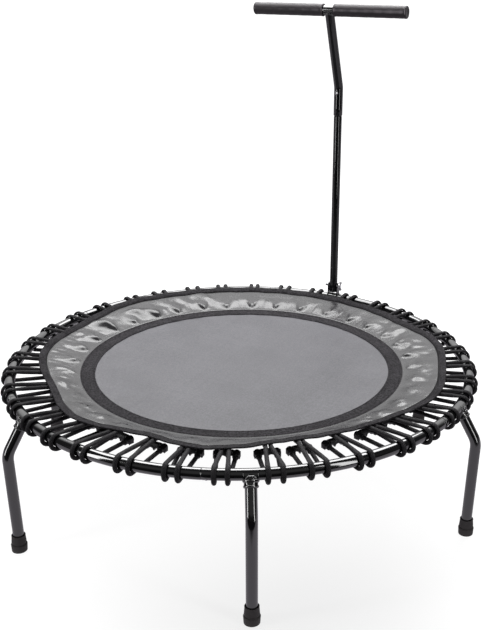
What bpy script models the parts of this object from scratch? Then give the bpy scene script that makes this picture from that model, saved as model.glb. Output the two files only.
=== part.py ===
"""Mini trampoline (rebounder) with a folding T-handle.

A ring of steel tube stands on six plug-in legs with rubber feet.  Thirty-six
elastic cords, each one a loop that closes through a moulded clip, wrap the
ring and carry the round jumping mat.  A loose skirt, sewn to the mat, covers
the inner ends of the cords.  The handle post folds on a wing bolt in a clevis
that is welded to the ring, and its T-shaped upper part plugs over the post and
is locked by a spring snap button.

Frame: metres, +Z up, origin on the floor under the centre of the ring.
Front is +Y, where the handle stands, and right is +X.  The T-bar runs along X.
Azimuths are in degrees from +X towards +Y.
"""

import math

import bmesh
import bpy
from mathutils import Matrix, Vector

# ---------------------------------------------------------------- dimensions
GAP = 0.0003                      # clearance between neighbouring solids
SLIP = 0.0004                     # radial clearance of a loose fit

# ring tube
RING_R = 0.495                    # ring centre line
RING_Z = 0.2853                   # height of the ring centre line
TUBE_R = 0.0111                   # 22.2 mm tube, also used for the legs
TUBE_BORE = 0.0092
SWAGE_R = 0.0082                  # swaged end that plugs into the next arc
SWAGE_BORE = 0.0066
SWAGE_DEG = 3.2                   # nominal reach of the swaged end past its arc
ARC_STEP_DEG = 6.0                # chord length of the arcs
END_DEG = 0.4                     # short chord that squares an end face
SWAGE_ROOT = 0.4                  # how far back along a chord the swage is rooted

# name, start and end azimuth; a joint lies 10 degrees before a leg
ARCS = (
    ("ring_arc_front_right", -10.0, 110.0),
    ("ring_arc_left", 110.0, 230.0),
    ("ring_arc_rear_left", 230.0, 290.0),
    ("ring_arc_rear_right", 290.0, 350.0),
)
# name and azimuth
LEGS = (
    ("right", 0.0),
    ("front_right", 60.0),
    ("front_left", 120.0),
    ("left", 180.0),
    ("rear_left", 240.0),
    ("rear_right", 300.0),
)
HANDLE_DEG = 90.0

# legs, their sockets and feet
ELBOW_R = 0.5359                  # where the two straight parts of a leg meet
ELBOW_Z = 0.2166
ELBOW_BEND = 0.045
FOOT_R = 0.5290                   # foot centre from the ring's axis
FOOT_H = 0.0360
FOOT_FLOOR = 0.0057               # thickness of rubber under the leg
ANKLE_RISE = 0.006                # last point of the leg's path above the foot
SOCKET_R = 0.0135                 # welded leg socket
SOCKET_BORE = TUBE_R + SLIP
SOCKET_BOTTOM = 0.0125            # these three are measured along the leg
SOCKET_END = 0.0310               # from the ring's centre line
SOCKET_BORE_END = 0.045
SADDLE_R = TUBE_R + 0.0020
SADDLE_HALF = 0.0142

# cords
CORD_FIRST_DEG = 5.0
# the cords are slack enough to creep along the ring: how far, in degrees,
# each one stands from even spacing, counted from the one beside the right leg
CORD_DRIFT_DEG = (
    -1.0, -1.5, -2.0, -2.0, -1.5, -1.5,
    -1.0, -1.5, -0.5, 0.5, 0.5, 0.0,
    0.0, -1.0, -0.5, -1.5, -1.0, -1.0,
    0.0, 0.0, 0.5, 0.0, 0.5, -0.5,
    -1.0, -2.0, -2.5, -1.5, -1.0, -1.0,
    0.0, -1.0, -0.5, 0.5, -1.0, -1.5,
)
CORD_R = 0.0043
CORD_WRAP = TUBE_R + CORD_R + SLIP    # cord centre line from the tube's centre
# the cord bends round the tube in 45 degree turns
CORD_CORNER = CORD_WRAP / math.cos(math.radians(22.5))
CORD_TOP_DEG = 67.5               # last corner, on top of the tube
CORD_TOP_LIFT = 0.0012            # and how far it is raised
CORD_RING_HALF = 0.0138           # the two strands of a cord at the ring
CORD_MAT_HALF = 0.0056            # and where they turn at the mat's edge
CORD_MAT_R = 0.3800
CORD_MAT_Z = 0.2868
CLIP_R = 0.3920
CLIP_Z = 0.2705
CLIP_HALF = 0.0180
CLIP_THICK = 1.30                 # times the cord's radius

# mat and skirt
MAT_Z = 0.2805                    # top of the jumping surface
MAT_T = 0.0020
BAND_IN = 0.3200                  # webbing band sewn over the mat's rim
BAND_OUT = 0.3520
BAND_RISE = 0.0015
MAT_EDGE = 0.3720
RIM_RISE = 0.0025                 # top of the rim outside the band
SKIRT_IN = 0.3550
SKIRT_CREASE = 0.3745             # the skirt lies loose outside this radius
SKIRT_MIDDLE = 0.4100
SKIRT_OUT = 0.4470
SKIRT_T = 0.0020
SKIRT_SHIFT = 0.0200              # the loose skirt lies a little off centre
SKIRT_SHIFT_DEG = 119.0

# clevis and wing bolt
PIVOT_Z = 0.3190                  # clevis bolt of the handle
EAR_IN = 0.0108                   # inner face of an ear from the middle
EAR_T = 0.0030
EAR_HALF = 0.0078                 # half width of an ear and radius of its top
BOLT_R = 0.0030
BOLT_HOLE = BOLT_R + SLIP
BOLT_START = -0.0222              # ends of the shank along X
BOLT_END = 0.0190
HUB_R = 0.0056
HUB_END = 0.0200
WING_X = 0.0192
WING_SIZE = (0.0070, 0.0024, 0.0244)
WING_BEVEL = 0.0009

# T-handle
STEM_R = 0.0110
STEM_BORE = 0.0092
BEND_Z = 0.8304
BEND_RADIUS = 0.035
BAR_Y = RING_R - 0.0669
BAR_Z = 1.0146
BAR_HALF = 0.1910
BAR_BORE = STEM_BORE + 0.0002

# handle post
POST_R = 0.0100
POST_BORE = 0.0085
POST_BOTTOM = 0.3022
SEAM_Z = 0.7611                   # where the T-handle sits on the post
SEAM_HALF = 0.0006                # half the space between the two parts there
PLUG_R = STEM_BORE - GAP          # narrow top of the post, inside the stem
PLUG_BORE = 0.0074
PLUG_TOP = 0.8225

# grips and snap button
GRIP_R = 0.0142
GRIP_BORE = STEM_R + GAP
GRIP_INNER = 0.0134               # grip starts this far from the middle
GRIP_OUTER = 0.1957
GRIP_FLOOR = BAR_HALF + 2 * GAP
BUTTON_Z = 0.8168
BUTTON_R = 0.0034
BUTTON_HOLE = BUTTON_R + SLIP
FLANGE_R = 0.0046                 # flange that keeps the button in the post

PIVOT = Vector((0, RING_R, PIVOT_Z))
LEG_ROOT = Vector((RING_R, 0, RING_Z))
ELBOW = Vector((ELBOW_R, 0, ELBOW_Z))
LEG_DOWN = (ELBOW - LEG_ROOT).normalized()

# ---------------------------------------------------------------- scene setup
for old in list(bpy.data.objects):
    bpy.data.objects.remove(old, do_unlink=True)

scene = bpy.context.scene
parts = bpy.data.collections.new("mini_trampoline")
scene.collection.children.link(parts)


def material(name, colour, roughness, metallic=0.0):
    made = bpy.data.materials.new(name)
    made.use_nodes = True
    shader = made.node_tree.nodes["Principled BSDF"]
    shader.inputs["Base Color"].default_value = (*colour, 1.0)
    shader.inputs["Roughness"].default_value = roughness
    shader.inputs["Metallic"].default_value = metallic
    made.diffuse_color = (*colour, 1.0)
    return made


BLACK_PAINT = material("gloss_black_paint", colour=(0.012, 0.012, 0.014),
                       roughness=0.16, metallic=0.35)
LEG_PAINT = material("satin_black_paint", colour=(0.016, 0.016, 0.018),
                     roughness=0.30, metallic=0.35)
RUBBER = material("foot_rubber", colour=(0.028, 0.025, 0.023), roughness=0.62)
CORD = material("braided_cord", colour=(0.014, 0.014, 0.015), roughness=0.72)
MESH_CLOTH = material("mat_cloth", colour=(0.21, 0.21, 0.215), roughness=0.70)
VINYL = material("skirt_vinyl", colour=(0.20, 0.20, 0.205), roughness=0.30)
FOAM = material("grip_foam", colour=(0.035, 0.034, 0.034), roughness=0.85)
STEEL = material("bright_steel", colour=(0.62, 0.62, 0.63), roughness=0.25, metallic=1.0)


# ---------------------------------------------------------------- pieces
def empty(name, location, parent=None):
    """An empty that carries moving pieces; location is in its parent's frame."""
    made = bpy.data.objects.new(name, None)
    made.location = location
    made.empty_display_size = 0.03
    made.parent = parent
    parts.objects.link(made)
    return made


def finished_mesh(obj, name, paint, origin=(0, 0, 0), sharp_deg=40.0):
    """Takes the mesh of a working object, measured from origin, painted and smoothed."""
    mesh = obj.data
    mesh.transform(Matrix.Translation(-Vector(origin)) @ obj.matrix_world)
    bpy.data.objects.remove(obj, do_unlink=True)
    mesh.name = name
    mesh.materials.clear()
    mesh.materials.append(paint)
    mesh.shade_smooth()
    mesh.set_sharp_from_angle(angle=math.radians(sharp_deg))
    return mesh


def add_piece(name, mesh, location=(0, 0, 0), rotation=(0, 0, 0), parent=None):
    """Adds a named piece; location and rotation are in its parent's frame."""
    piece = bpy.data.objects.new(name, mesh)
    piece.location = location
    piece.rotation_euler = rotation
    piece.parent = parent
    parts.objects.link(piece)


# ---------------------------------------------------------------- working shapes
def bake(obj):
    """Swaps a curve, or an object with modifiers, for a plain mesh object in the same place."""
    scene.collection.objects.link(obj)
    bpy.context.view_layer.update()
    graph = bpy.context.evaluated_depsgraph_get()
    mesh = bpy.data.meshes.new_from_object(obj.evaluated_get(graph))
    bm = bmesh.new()
    bm.from_mesh(mesh)
    # caps come loose from their walls
    bmesh.ops.remove_doubles(bm, verts=bm.verts, dist=0.00001)
    bmesh.ops.recalc_face_normals(bm, faces=bm.faces)
    bm.to_mesh(mesh)
    bm.free()
    made = bpy.data.objects.new("baked", mesh)
    made.matrix_world = obj.matrix_world.copy()
    bpy.data.objects.remove(obj, do_unlink=True)
    return made


def tube(points, radius, sides, cyclic=False, radii=None):
    """A solid rod along a polyline.  sides is even and at least 4."""
    data = bpy.data.curves.new("tube", "CURVE")
    data.dimensions = "3D"
    data.bevel_depth = radius
    data.bevel_resolution = (sides - 4) // 2
    data.use_fill_caps = not cyclic
    spline = data.splines.new("POLY")
    spline.points.add(len(points) - 1)
    for i, (point, place) in enumerate(zip(spline.points, points)):
        point.co = (*place, 1.0)
        point.radius = radii[i] if radii else 1.0
    spline.use_cyclic_u = cyclic
    return bake(bpy.data.objects.new("tube", data))


def turned(profile, steps, closed=False):
    """A shape turned round Z from a profile of (radius, height) pairs."""
    mesh = bpy.data.meshes.new("turned")
    edges = [(i, i + 1) for i in range(len(profile) - 1)]
    if closed:
        edges.append((len(profile) - 1, 0))
    mesh.from_pydata([(radius, 0.0, z) for radius, z in profile], edges, [])
    obj = bpy.data.objects.new("turned", mesh)
    screw = obj.modifiers.new("turn", "SCREW")
    screw.axis = "Z"
    screw.steps = steps
    screw.use_merge_vertices = True
    screw.merge_threshold = 0.00001
    return bake(obj)


def cylinder(radius, start, end, sides):
    """A closed cylinder from one point to another."""
    start, end = Vector(start), Vector(end)
    mesh = bpy.data.meshes.new("cylinder")
    bm = bmesh.new()
    bmesh.ops.create_cone(bm, cap_ends=True, segments=sides, radius1=radius,
                          radius2=radius, depth=(end - start).length)
    bm.to_mesh(mesh)
    bm.free()
    obj = bpy.data.objects.new("cylinder", mesh)
    obj.rotation_mode = "QUATERNION"
    obj.rotation_quaternion = (end - start).to_track_quat("Z", "Y")
    obj.location = (start + end) / 2
    return obj


def block(centre, size):
    mesh = bpy.data.meshes.new("block")
    bm = bmesh.new()
    bmesh.ops.create_cube(bm, size=1.0)
    bmesh.ops.scale(bm, vec=Vector(size), verts=bm.verts)
    bm.to_mesh(mesh)
    bm.free()
    obj = bpy.data.objects.new("block", mesh)
    obj.location = centre
    return obj


def combine(obj, joined=(), cut=()):
    """Joins the first tools to obj, then cuts the others from it, in order."""
    steps = [("UNION", tool) for tool in joined] + [("DIFFERENCE", tool) for tool in cut]
    for operation, tool in steps:
        scene.collection.objects.link(tool)
        boolean = obj.modifiers.new("boolean", "BOOLEAN")
        boolean.operation = operation
        boolean.solver = "EXACT"
        boolean.object = tool
    made = bake(obj)
    for _, tool in steps:
        bpy.data.objects.remove(tool, do_unlink=True)
    return made


# ---------------------------------------------------------------- paths
def polar(radius, degrees, z):
    azimuth = math.radians(degrees)
    return Vector((radius * math.cos(azimuth), radius * math.sin(azimuth), z))


def ring_point(degrees):
    return polar(RING_R, degrees, RING_Z)


def leg_point(distance, degrees):
    """A point on the upper straight part of the leg at an azimuth."""
    return Matrix.Rotation(math.radians(degrees), 3, "Z") @ (LEG_ROOT + LEG_DOWN * distance)


def along_chords(points, before, after):
    """The same chords, with both ends run on by these lengths.

    A bore made this way stays in the middle of its tube.
    """
    first = points[0] + (points[0] - points[1]).normalized() * before
    last = points[-1] + (points[-1] - points[-2]).normalized() * after
    return [first, *points[1:-1], last]


def fillet(before, corner, after, radius, count):
    """Points that round the corner of a bent tube."""
    to_before = (before - corner).normalized()
    to_after = (after - corner).normalized()
    half = to_before.angle(to_after) / 2
    reach = radius / math.tan(half)
    centre = corner + (to_before + to_after).normalized() * (radius / math.sin(half))
    first = corner + to_before * reach - centre
    last = corner + to_after * reach - centre
    axis = first.cross(last).normalized()
    turn = first.angle(last)
    return [centre + Matrix.Rotation(turn * i / count, 3, axis) @ first
            for i in range(count + 1)]


# ---------------------------------------------------------------- ring arcs
def saddle(degrees):
    """A short sleeve round the ring tube."""
    azimuth = math.radians(degrees)
    along = Vector((-math.sin(azimuth), math.cos(azimuth), 0)) * SADDLE_HALF
    centre = ring_point(degrees)
    return cylinder(SADDLE_R, centre - along, centre + along, sides=14)


def clevis_ear(side):
    """An upright ear with a round top, on the -X or +X side of the post."""
    middle = side * (EAR_IN + EAR_T / 2)
    plate = block((middle, RING_R, (RING_Z + PIVOT_Z) / 2),
                  (EAR_T, 2 * EAR_HALF, PIVOT_Z - RING_Z))
    crown = cylinder(EAR_HALF, (middle - EAR_T / 2, RING_R, PIVOT_Z),
                     (middle + EAR_T / 2, RING_R, PIVOT_Z), sides=20)
    return combine(plate, joined=[crown])


def bolt_hole(half_length):
    return cylinder(BOLT_HOLE, (-half_length, RING_R, PIVOT_Z),
                    (half_length, RING_R, PIVOT_Z), sides=12)


def build_ring_arc(name, start, end):
    count = round((end - start) / ARC_STEP_DEG)
    first, *middle, last = [ring_point(start + (end - start) * i / count)
                            for i in range(count + 1)]
    # short end chords square the end faces to the ring
    chords = [first, ring_point(start + END_DEG), *middle, ring_point(end - END_DEG), last]

    beyond = ring_point(end + END_DEG)
    root = chords[-2].lerp(chords[-3], SWAGE_ROOT)
    tip = beyond.lerp(ring_point(end + ARC_STEP_DEG), (SWAGE_DEG - END_DEG) / ARC_STEP_DEG)
    swage = [root, chords[-2], last, beyond, tip]

    joined = [tube(swage, SWAGE_R, sides=12)]
    cut = [
        tube(along_chords([*chords[:-2], root], 0.005, 0.0), TUBE_BORE, sides=8),
        tube(along_chords(swage, 0.003, 0.003), SWAGE_BORE, sides=8),
    ]
    for _, azimuth in LEGS:
        if start < azimuth < end:
            joined.append(saddle(azimuth))
            joined.append(cylinder(SOCKET_R, leg_point(0.0, azimuth),
                                   leg_point(SOCKET_END, azimuth), sides=14))
            cut.append(cylinder(SOCKET_BORE, leg_point(SOCKET_BOTTOM, azimuth),
                                leg_point(SOCKET_BORE_END, azimuth), sides=16))
    if start < HANDLE_DEG < end:
        joined += [saddle(HANDLE_DEG), clevis_ear(-1), clevis_ear(1)]
        cut.append(bolt_hole(0.03))

    body = tube(along_chords(chords, -GAP, 0.0), TUBE_R, sides=12)
    add_piece(name, finished_mesh(combine(body, joined, cut), name, BLACK_PAINT))


# ---------------------------------------------------------------- legs, feet
def leg_mesh():
    top = leg_point(SOCKET_BOTTOM + GAP, 0.0)
    ankle = Vector((FOOT_R, 0, FOOT_H + ANKLE_RISE))
    sole = Vector((FOOT_R, 0, FOOT_FLOOR + GAP))
    bends = [*fillet(top, ELBOW, ankle, ELBOW_BEND, count=3), ankle]
    # the bore runs out past both ends
    bore = tube([top - LEG_DOWN * 0.01, *bends, sole - Vector((0, 0, 0.01))],
                TUBE_BORE, sides=8)
    leg = combine(tube([top, *bends, sole], TUBE_R, sides=12), cut=[bore])
    return finished_mesh(leg, "leg", LEG_PAINT)


def foot_mesh():
    """A rubber cup with a ribbed outside; the leg stands in it."""
    # radius, height
    profile = [
        (0.0, FOOT_FLOOR),
        (SOCKET_BORE, FOOT_FLOOR),
        (SOCKET_BORE, FOOT_H),
        (0.0138, FOOT_H),
        (0.0142, 0.0210),
        (0.0134, 0.0190),
        (0.0157, 0.0170),
        (0.0160, 0.0014),
        (0.0150, 0.0),
        (0.0, 0.0),
    ]
    return finished_mesh(turned(profile, steps=14), "foot", RUBBER)


def build_legs():
    leg, foot = leg_mesh(), foot_mesh()
    for name, azimuth in LEGS:
        rotation = (0, 0, math.radians(azimuth))
        add_piece("leg_" + name, leg, rotation=rotation)
        add_piece("foot_" + name, foot, polar(FOOT_R, azimuth, 0.0), rotation)


# ---------------------------------------------------------------- cords
def cord_corner(degrees, lift=0.0):
    """Radius and height of a corner of the cord, at an angle round the ring tube."""
    angle = math.radians(degrees)
    return (RING_R + CORD_CORNER * math.cos(angle),
            RING_Z + CORD_CORNER * math.sin(angle) + lift)


CORD_TOP_R, CORD_TOP_Z = cord_corner(CORD_TOP_DEG, CORD_TOP_LIFT)


def strand(side):
    """Half a cord: out from the clip, up round the ring, in over the top to the mat's edge."""
    corners = [*(cord_corner(degrees) for degrees in (-67.5, -22.5, 22.5)),
               (CORD_TOP_R, CORD_TOP_Z)]
    return [
        Vector((CLIP_R, side * CLIP_HALF, CLIP_Z)),
        *(Vector((radius, side * CORD_RING_HALF, z)) for radius, z in corners),
        Vector((CORD_MAT_R, side * CORD_MAT_HALF, CORD_MAT_Z)),
    ]


def build_cords():
    near, far = strand(-1), strand(1)
    # only the clip bar, between the first and last points, is thick
    radii = [CLIP_THICK] + [1.0] * (len(near) - 1)
    loop = tube(near + far[::-1], CORD_R, sides=6, cyclic=True, radii=radii + radii[::-1])
    mesh = finished_mesh(loop, "cord", CORD, sharp_deg=50.0)
    pitch = 360.0 / len(CORD_DRIFT_DEG)
    for i, drift in enumerate(CORD_DRIFT_DEG):
        azimuth = CORD_FIRST_DEG + pitch * i + drift
        add_piece(f"cord_{i + 1:02d}", mesh, rotation=(0, 0, math.radians(azimuth)))


# ---------------------------------------------------------------- mat, skirt
def build_mat(parent):
    # radius, height above the jumping surface
    profile = [
        (0.0, 0.0),
        (BAND_IN - 0.0006, 0.0),
        (BAND_IN, BAND_RISE),
        (BAND_OUT, BAND_RISE),
        (BAND_OUT + 0.0010, RIM_RISE),
        (MAT_EDGE - 0.0010, RIM_RISE),
        (MAT_EDGE, -0.0030),
        (BAND_OUT, -0.0035),
        (BAND_IN, -MAT_T),
        (0.0, -MAT_T),
    ]
    mesh = finished_mesh(turned(profile, steps=60), "jumping_mat", MESH_CLOTH)
    add_piece("jumping_mat", mesh, parent=parent)


def cord_top(radius):
    """Height of the top of the cords above the floor at a radius."""
    slope = (CORD_TOP_Z - CORD_MAT_Z) / (CORD_TOP_R - CORD_MAT_R)
    return CORD_MAT_Z + CORD_R * 1.02 + slope * (radius - CORD_MAT_R)


def build_skirt(parent):
    # radius, height above the sheet's underside
    profile = [
        (SKIRT_IN + 0.0010, SKIRT_T),
        (SKIRT_CREASE, SKIRT_T),
        (SKIRT_MIDDLE, SKIRT_T),
        (SKIRT_OUT, SKIRT_T),
        (SKIRT_OUT, 0.0),
        (SKIRT_MIDDLE, 0.0),
        (SKIRT_CREASE, 0.0),
        (SKIRT_IN, 0.0),
    ]
    skirt = turned(profile, steps=60, closed=True)
    # the sheet lies on the mat's rim and the cords, and its loose outer edge
    # is pulled towards one side
    shift = polar(SKIRT_SHIFT, SKIRT_SHIFT_DEG, 0.0)
    for vertex in skirt.data.vertices:
        flat = Vector((vertex.co.x, vertex.co.y, 0.0))
        # Rounding leaves some crease vertices a hair outside the crease.  Those
        # rest a little lower, so this sum and the limit below set the shape.
        free = max(0.0, (flat.length - SKIRT_CREASE) / (SKIRT_OUT - SKIRT_CREASE))
        flat += shift * free
        if flat.length <= MAT_EDGE:
            base = MAT_Z + RIM_RISE
        elif free < 1e-9:
            base = cord_top(CORD_MAT_R)
        else:
            base = cord_top(flat.length)
        vertex.co = Vector((flat.x, flat.y, vertex.co.z + base + GAP - MAT_Z))
    add_piece("skirt", finished_mesh(skirt, "skirt", VINYL), parent=parent)


# ---------------------------------------------------------------- handle
def button_hole():
    """Cutter for the snap button's hole, on the side that faces the mat."""
    return cylinder(BUTTON_HOLE, (0, RING_R, BUTTON_Z), (0, RING_R - 0.02, BUTTON_Z),
                    sides=12)


def build_post(parent):
    # radius, height above the floor
    profile = [
        (PLUG_R, PLUG_TOP),
        (PLUG_R, SEAM_Z - SEAM_HALF),
        (POST_R, SEAM_Z - 0.0020),
        (POST_R, POST_BOTTOM),
        (POST_BORE, POST_BOTTOM),
        (POST_BORE, SEAM_Z - 0.0060),
        (PLUG_BORE, SEAM_Z - 0.0040),
        (PLUG_BORE, PLUG_TOP),
    ]
    post = turned(profile, steps=16, closed=True)
    post.location = (0, RING_R, 0)
    post = combine(post, cut=[bolt_hole(0.02), button_hole()])
    mesh = finished_mesh(post, "handle_post", BLACK_PAINT, origin=PIVOT)
    add_piece("handle_post", mesh, parent=parent)


def build_t_handle(parent):
    foot = Vector((0, RING_R, SEAM_Z + SEAM_HALF))
    bend = Vector((0, RING_R, BEND_Z))
    head = Vector((0, BAR_Y, BAR_Z))
    upper_path = [*fillet(foot, bend, head, BEND_RADIUS, count=4), head]
    half_bar = Vector((BAR_HALF, 0, 0))
    half_bore = Vector((BAR_HALF + 0.01, 0, 0))
    handle = combine(
        tube([foot, *upper_path], STEM_R, sides=16),
        joined=[cylinder(STEM_R, head - half_bar, head + half_bar, sides=18)],
        cut=[
            tube([foot - Vector((0, 0, 0.01)), *upper_path], STEM_BORE, sides=16),
            cylinder(BAR_BORE, head - half_bore, head + half_bore, sides=10),
            button_hole(),
        ])
    mesh = finished_mesh(handle, "t_handle", BLACK_PAINT, origin=PIVOT)
    add_piece("t_handle", mesh, parent=parent)


def build_grips(parent):
    """Foam sleeves, each with a closed outer end."""
    # radius, distance from the middle of the T-bar
    profile = [
        (0.0, GRIP_OUTER),
        (GRIP_R - 0.0018, GRIP_OUTER),
        (GRIP_R, GRIP_OUTER - 0.0020),
        (GRIP_R, GRIP_INNER + 0.0010),
        (GRIP_R - 0.0008, GRIP_INNER),
        (GRIP_BORE, GRIP_INNER),
        (GRIP_BORE, GRIP_FLOOR),
        (0.0, GRIP_FLOOR),
    ]
    mesh = finished_mesh(turned(profile, steps=18), "grip", FOAM)
    for side, turn in (("left", -90.0), ("right", 90.0)):
        add_piece("grip_" + side, mesh, Vector((0, BAR_Y, BAR_Z)) - PIVOT,
                  (0, math.radians(turn), 0), parent)


def build_snap_button(parent):
    """A domed pin with a flange, pointing at the mat."""
    # radius, distance from the post's axis
    profile = [
        (0.0, 0.0130),
        (0.0020, 0.0128),
        (BUTTON_R, 0.0116),
        (BUTTON_R, 0.0052),
        (FLANGE_R, 0.0052),
        (FLANGE_R, 0.0040),
        (0.0, 0.0040),
    ]
    mesh = finished_mesh(turned(profile, steps=14), "snap_button", STEEL)
    add_piece("snap_button", mesh, rotation=(math.radians(90), 0, 0), parent=parent)


def build_wing_bolt(parent):
    """Shank through the clevis, with a hub and two wings on the +X side."""
    wing = block((WING_X, RING_R, PIVOT_Z), WING_SIZE)
    bevel = wing.modifiers.new("round", "BEVEL")
    bevel.width = WING_BEVEL
    bevel.segments = 1
    bevel.limit_method = "ANGLE"
    hub = cylinder(HUB_R, (EAR_IN + EAR_T + GAP, RING_R, PIVOT_Z),
                   (HUB_END, RING_R, PIVOT_Z), sides=14)
    shank = cylinder(BOLT_R, (BOLT_START, RING_R, PIVOT_Z), (BOLT_END, RING_R, PIVOT_Z),
                     sides=12)
    bolt = combine(shank, joined=[hub, bake(wing)])
    mesh = finished_mesh(bolt, "wing_bolt", STEEL, origin=PIVOT)
    add_piece("wing_bolt", mesh, parent=parent)


# ---------------------------------------------------------------- build
for arc in ARCS:
    build_ring_arc(*arc)
build_legs()
build_cords()

mat_slide = empty("mat_slide", (0, 0, MAT_Z))
build_mat(mat_slide)
build_skirt(mat_slide)

handle_pivot = empty("handle_pivot", PIVOT)
build_post(handle_pivot)
build_t_handle(handle_pivot)
build_grips(handle_pivot)
build_snap_button(empty("button_slide", (0, 0, BUTTON_Z - PIVOT_Z), handle_pivot))
build_wing_bolt(empty("wing_bolt_spin", PIVOT))
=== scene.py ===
# A small trampoline: a steel ring on six legs, a mat hung from the ring on 36 elastic cords,
# a skirt over the cords, and a T-shaped handle. In metres with Z up. The floor is z = 0 and
# the ring's axis is the Z axis. +X is right and +Y is front, where the handle stands.
# Azimuths are in degrees, anticlockwise from +X. Pieces that repeat round the ring are built
# at azimuth 0 and turned into place.
import math

import bmesh
import bpy
import numpy as np
from mathutils import Matrix, Vector


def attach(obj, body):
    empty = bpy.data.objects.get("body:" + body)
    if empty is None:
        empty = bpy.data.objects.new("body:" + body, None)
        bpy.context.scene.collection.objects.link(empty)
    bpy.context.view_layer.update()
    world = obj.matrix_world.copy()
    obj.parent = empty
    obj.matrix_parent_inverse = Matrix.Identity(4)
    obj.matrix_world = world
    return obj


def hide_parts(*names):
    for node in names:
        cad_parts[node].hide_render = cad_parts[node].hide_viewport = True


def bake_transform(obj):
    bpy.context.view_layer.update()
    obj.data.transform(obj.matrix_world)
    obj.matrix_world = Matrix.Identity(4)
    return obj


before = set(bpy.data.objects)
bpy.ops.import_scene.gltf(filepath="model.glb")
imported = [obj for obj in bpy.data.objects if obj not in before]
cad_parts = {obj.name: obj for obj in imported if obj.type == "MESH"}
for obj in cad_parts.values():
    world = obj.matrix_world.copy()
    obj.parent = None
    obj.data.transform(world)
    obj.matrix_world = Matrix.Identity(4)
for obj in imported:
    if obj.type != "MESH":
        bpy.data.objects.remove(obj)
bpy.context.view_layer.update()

scene = bpy.context.scene

# ---------------------------------------------------------------- driving dimensions
AXIS_X = np.array((1.0, 0.0, 0.0))
AXIS_Y = np.array((0.0, 1.0, 0.0))
AXIS_Z = np.array((0.0, 0.0, 1.0))

RING_R = 0.495                      # of the tube's centre line
RING_Z = 0.2853
RING_POINT = np.array((RING_R, 0.0, RING_Z))
TUBE_R = 0.0111                     # ring and leg tubes

MAT_Z = 0.2805
BAND_IN, BAND_OUT = 0.3200, 0.3520  # webbing band on the mat's rim
MAT_EDGE = 0.3720

ELBOW_R, ELBOW_Z, ELBOW_BEND = 0.5359, 0.2166, 0.045
FOOT_R = 0.5290                     # distance of the feet from the axis
FOOT_TOP, FOOT_FLOOR = 0.0360, 0.0057
LEG_END = np.array((FOOT_R, 0.0, 0.0))

PIVOT_Z = 0.3190                    # the handle's bolt
POST_R = 0.0100
SEAM_Z = 0.7611                     # where the stem meets the post
STEM_R = 0.0110
STEM_BEND_Z, STEM_BEND_R = 0.8304, 0.035
BAR_Y, BAR_Z, BAR_HALF = RING_R - 0.0669, 1.0146, 0.1882
BAR_CENTRE = np.array((0.0, BAR_Y, BAR_Z))
BUTTON_Z = 0.8168

# One row for each sixth of the ring: leg azimuth, leg name, ring tube name, CAD ring arc.
SIXTHS = (
    (0.0, "right", "right", "ring_arc_front_right"),
    (60.0, "front_right", "front", "ring_arc_front_right"),
    (120.0, "front_left", "left_front", "ring_arc_left"),
    (180.0, "left", "left", "ring_arc_left"),
    (240.0, "rear_left", "rear_left", "ring_arc_rear_left"),
    (300.0, "rear_right", "rear_right", "ring_arc_rear_right"),
)
SEAM_OFFSET = -10.0                 # each tube starts this far round from its leg

# Cords sit at an even 10 degree pitch, each off by its own drift.
CORD_DRIFT = (
    -1.0, -1.5, -2.0, -2.0, -1.5, -1.5, -1.0, -1.5, -0.5, 0.5, 0.5, 0.0,
    0.0, -1.0, -0.5, -1.5, -1.0, -1.0, 0.0, 0.0, 0.5, 0.0, 0.5, -0.5,
    -1.0, -2.0, -2.5, -1.5, -1.0, -1.0, 0.0, -1.0, -0.5, 0.5, -1.0, -1.5,
)
CORD_AT = np.array([5.0 + 10.0 * k + drift for k, drift in enumerate(CORD_DRIFT)])
# Half the distance between a cord's strands at the ring: near 13 mm, a few pinched or spread.
ODD_SPREAD = {9: 0.0118, 10: 0.0112, 11: 0.0086, 12: 0.0100, 13: 0.0136, 14: 0.0141,
              28: 0.0120, 31: 0.0148, 33: 0.0122}
SPREAD = np.array([ODD_SPREAD.get(k, 0.0130 + 0.0009 * math.sin(2.3 * k + 0.7))
                   for k in range(len(CORD_AT))])


# ---------------------------------------------------------------- vectors and curves
def unit(v):
    v = np.asarray(v, float)
    return v / np.maximum(np.linalg.norm(v, axis=-1, keepdims=True), 1e-12)


def polar(radius, degrees, z=0.0):
    angle = math.radians(degrees)
    return np.array((radius * math.cos(angle), radius * math.sin(angle), z))


def turn_z(points, degrees):
    angle = math.radians(degrees)
    c, s = math.cos(angle), math.sin(angle)
    p = np.asarray(points, float)
    out = p.copy()
    out[..., 0] = c * p[..., 0] - s * p[..., 1]
    out[..., 1] = s * p[..., 0] + c * p[..., 1]
    return out


def circle(count):
    return np.linspace(0, 2 * np.pi, count, endpoint=False)


def steps(start, end, count):
    """Points evenly spaced from start to end, both included."""
    return [start + (end - start) * q for q in np.linspace(0, 1, count)]


def smoothstep(x, low, high):
    t = np.clip((np.asarray(x, float) - low) / (high - low), 0, 1)
    return t * t * (3 - 2 * t)


def lengths_along(points):
    """Distance along a path at each of its points."""
    step = np.linalg.norm(np.diff(points, axis=0), axis=1)
    return np.concatenate(([0.0], np.cumsum(step)))


def fillet(before, corner, after, radius, count=14):
    """Points that round the corner of a bent tube."""
    u, v = unit(before - corner), unit(after - corner)
    half = math.acos(float(np.clip(u @ v, -1, 1))) / 2
    reach = radius / math.tan(half)
    centre = corner + unit(u + v) * (radius / math.sin(half))
    first = corner + u * reach - centre
    last = corner + v * reach - centre
    axis = unit(np.cross(first, last))
    turn = math.acos(float(np.clip(unit(first) @ unit(last), -1, 1)))
    angles = [turn * i / count for i in range(count + 1)]
    return [centre + first * math.cos(q) + np.cross(axis, first) * math.sin(q) for q in angles]


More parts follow.
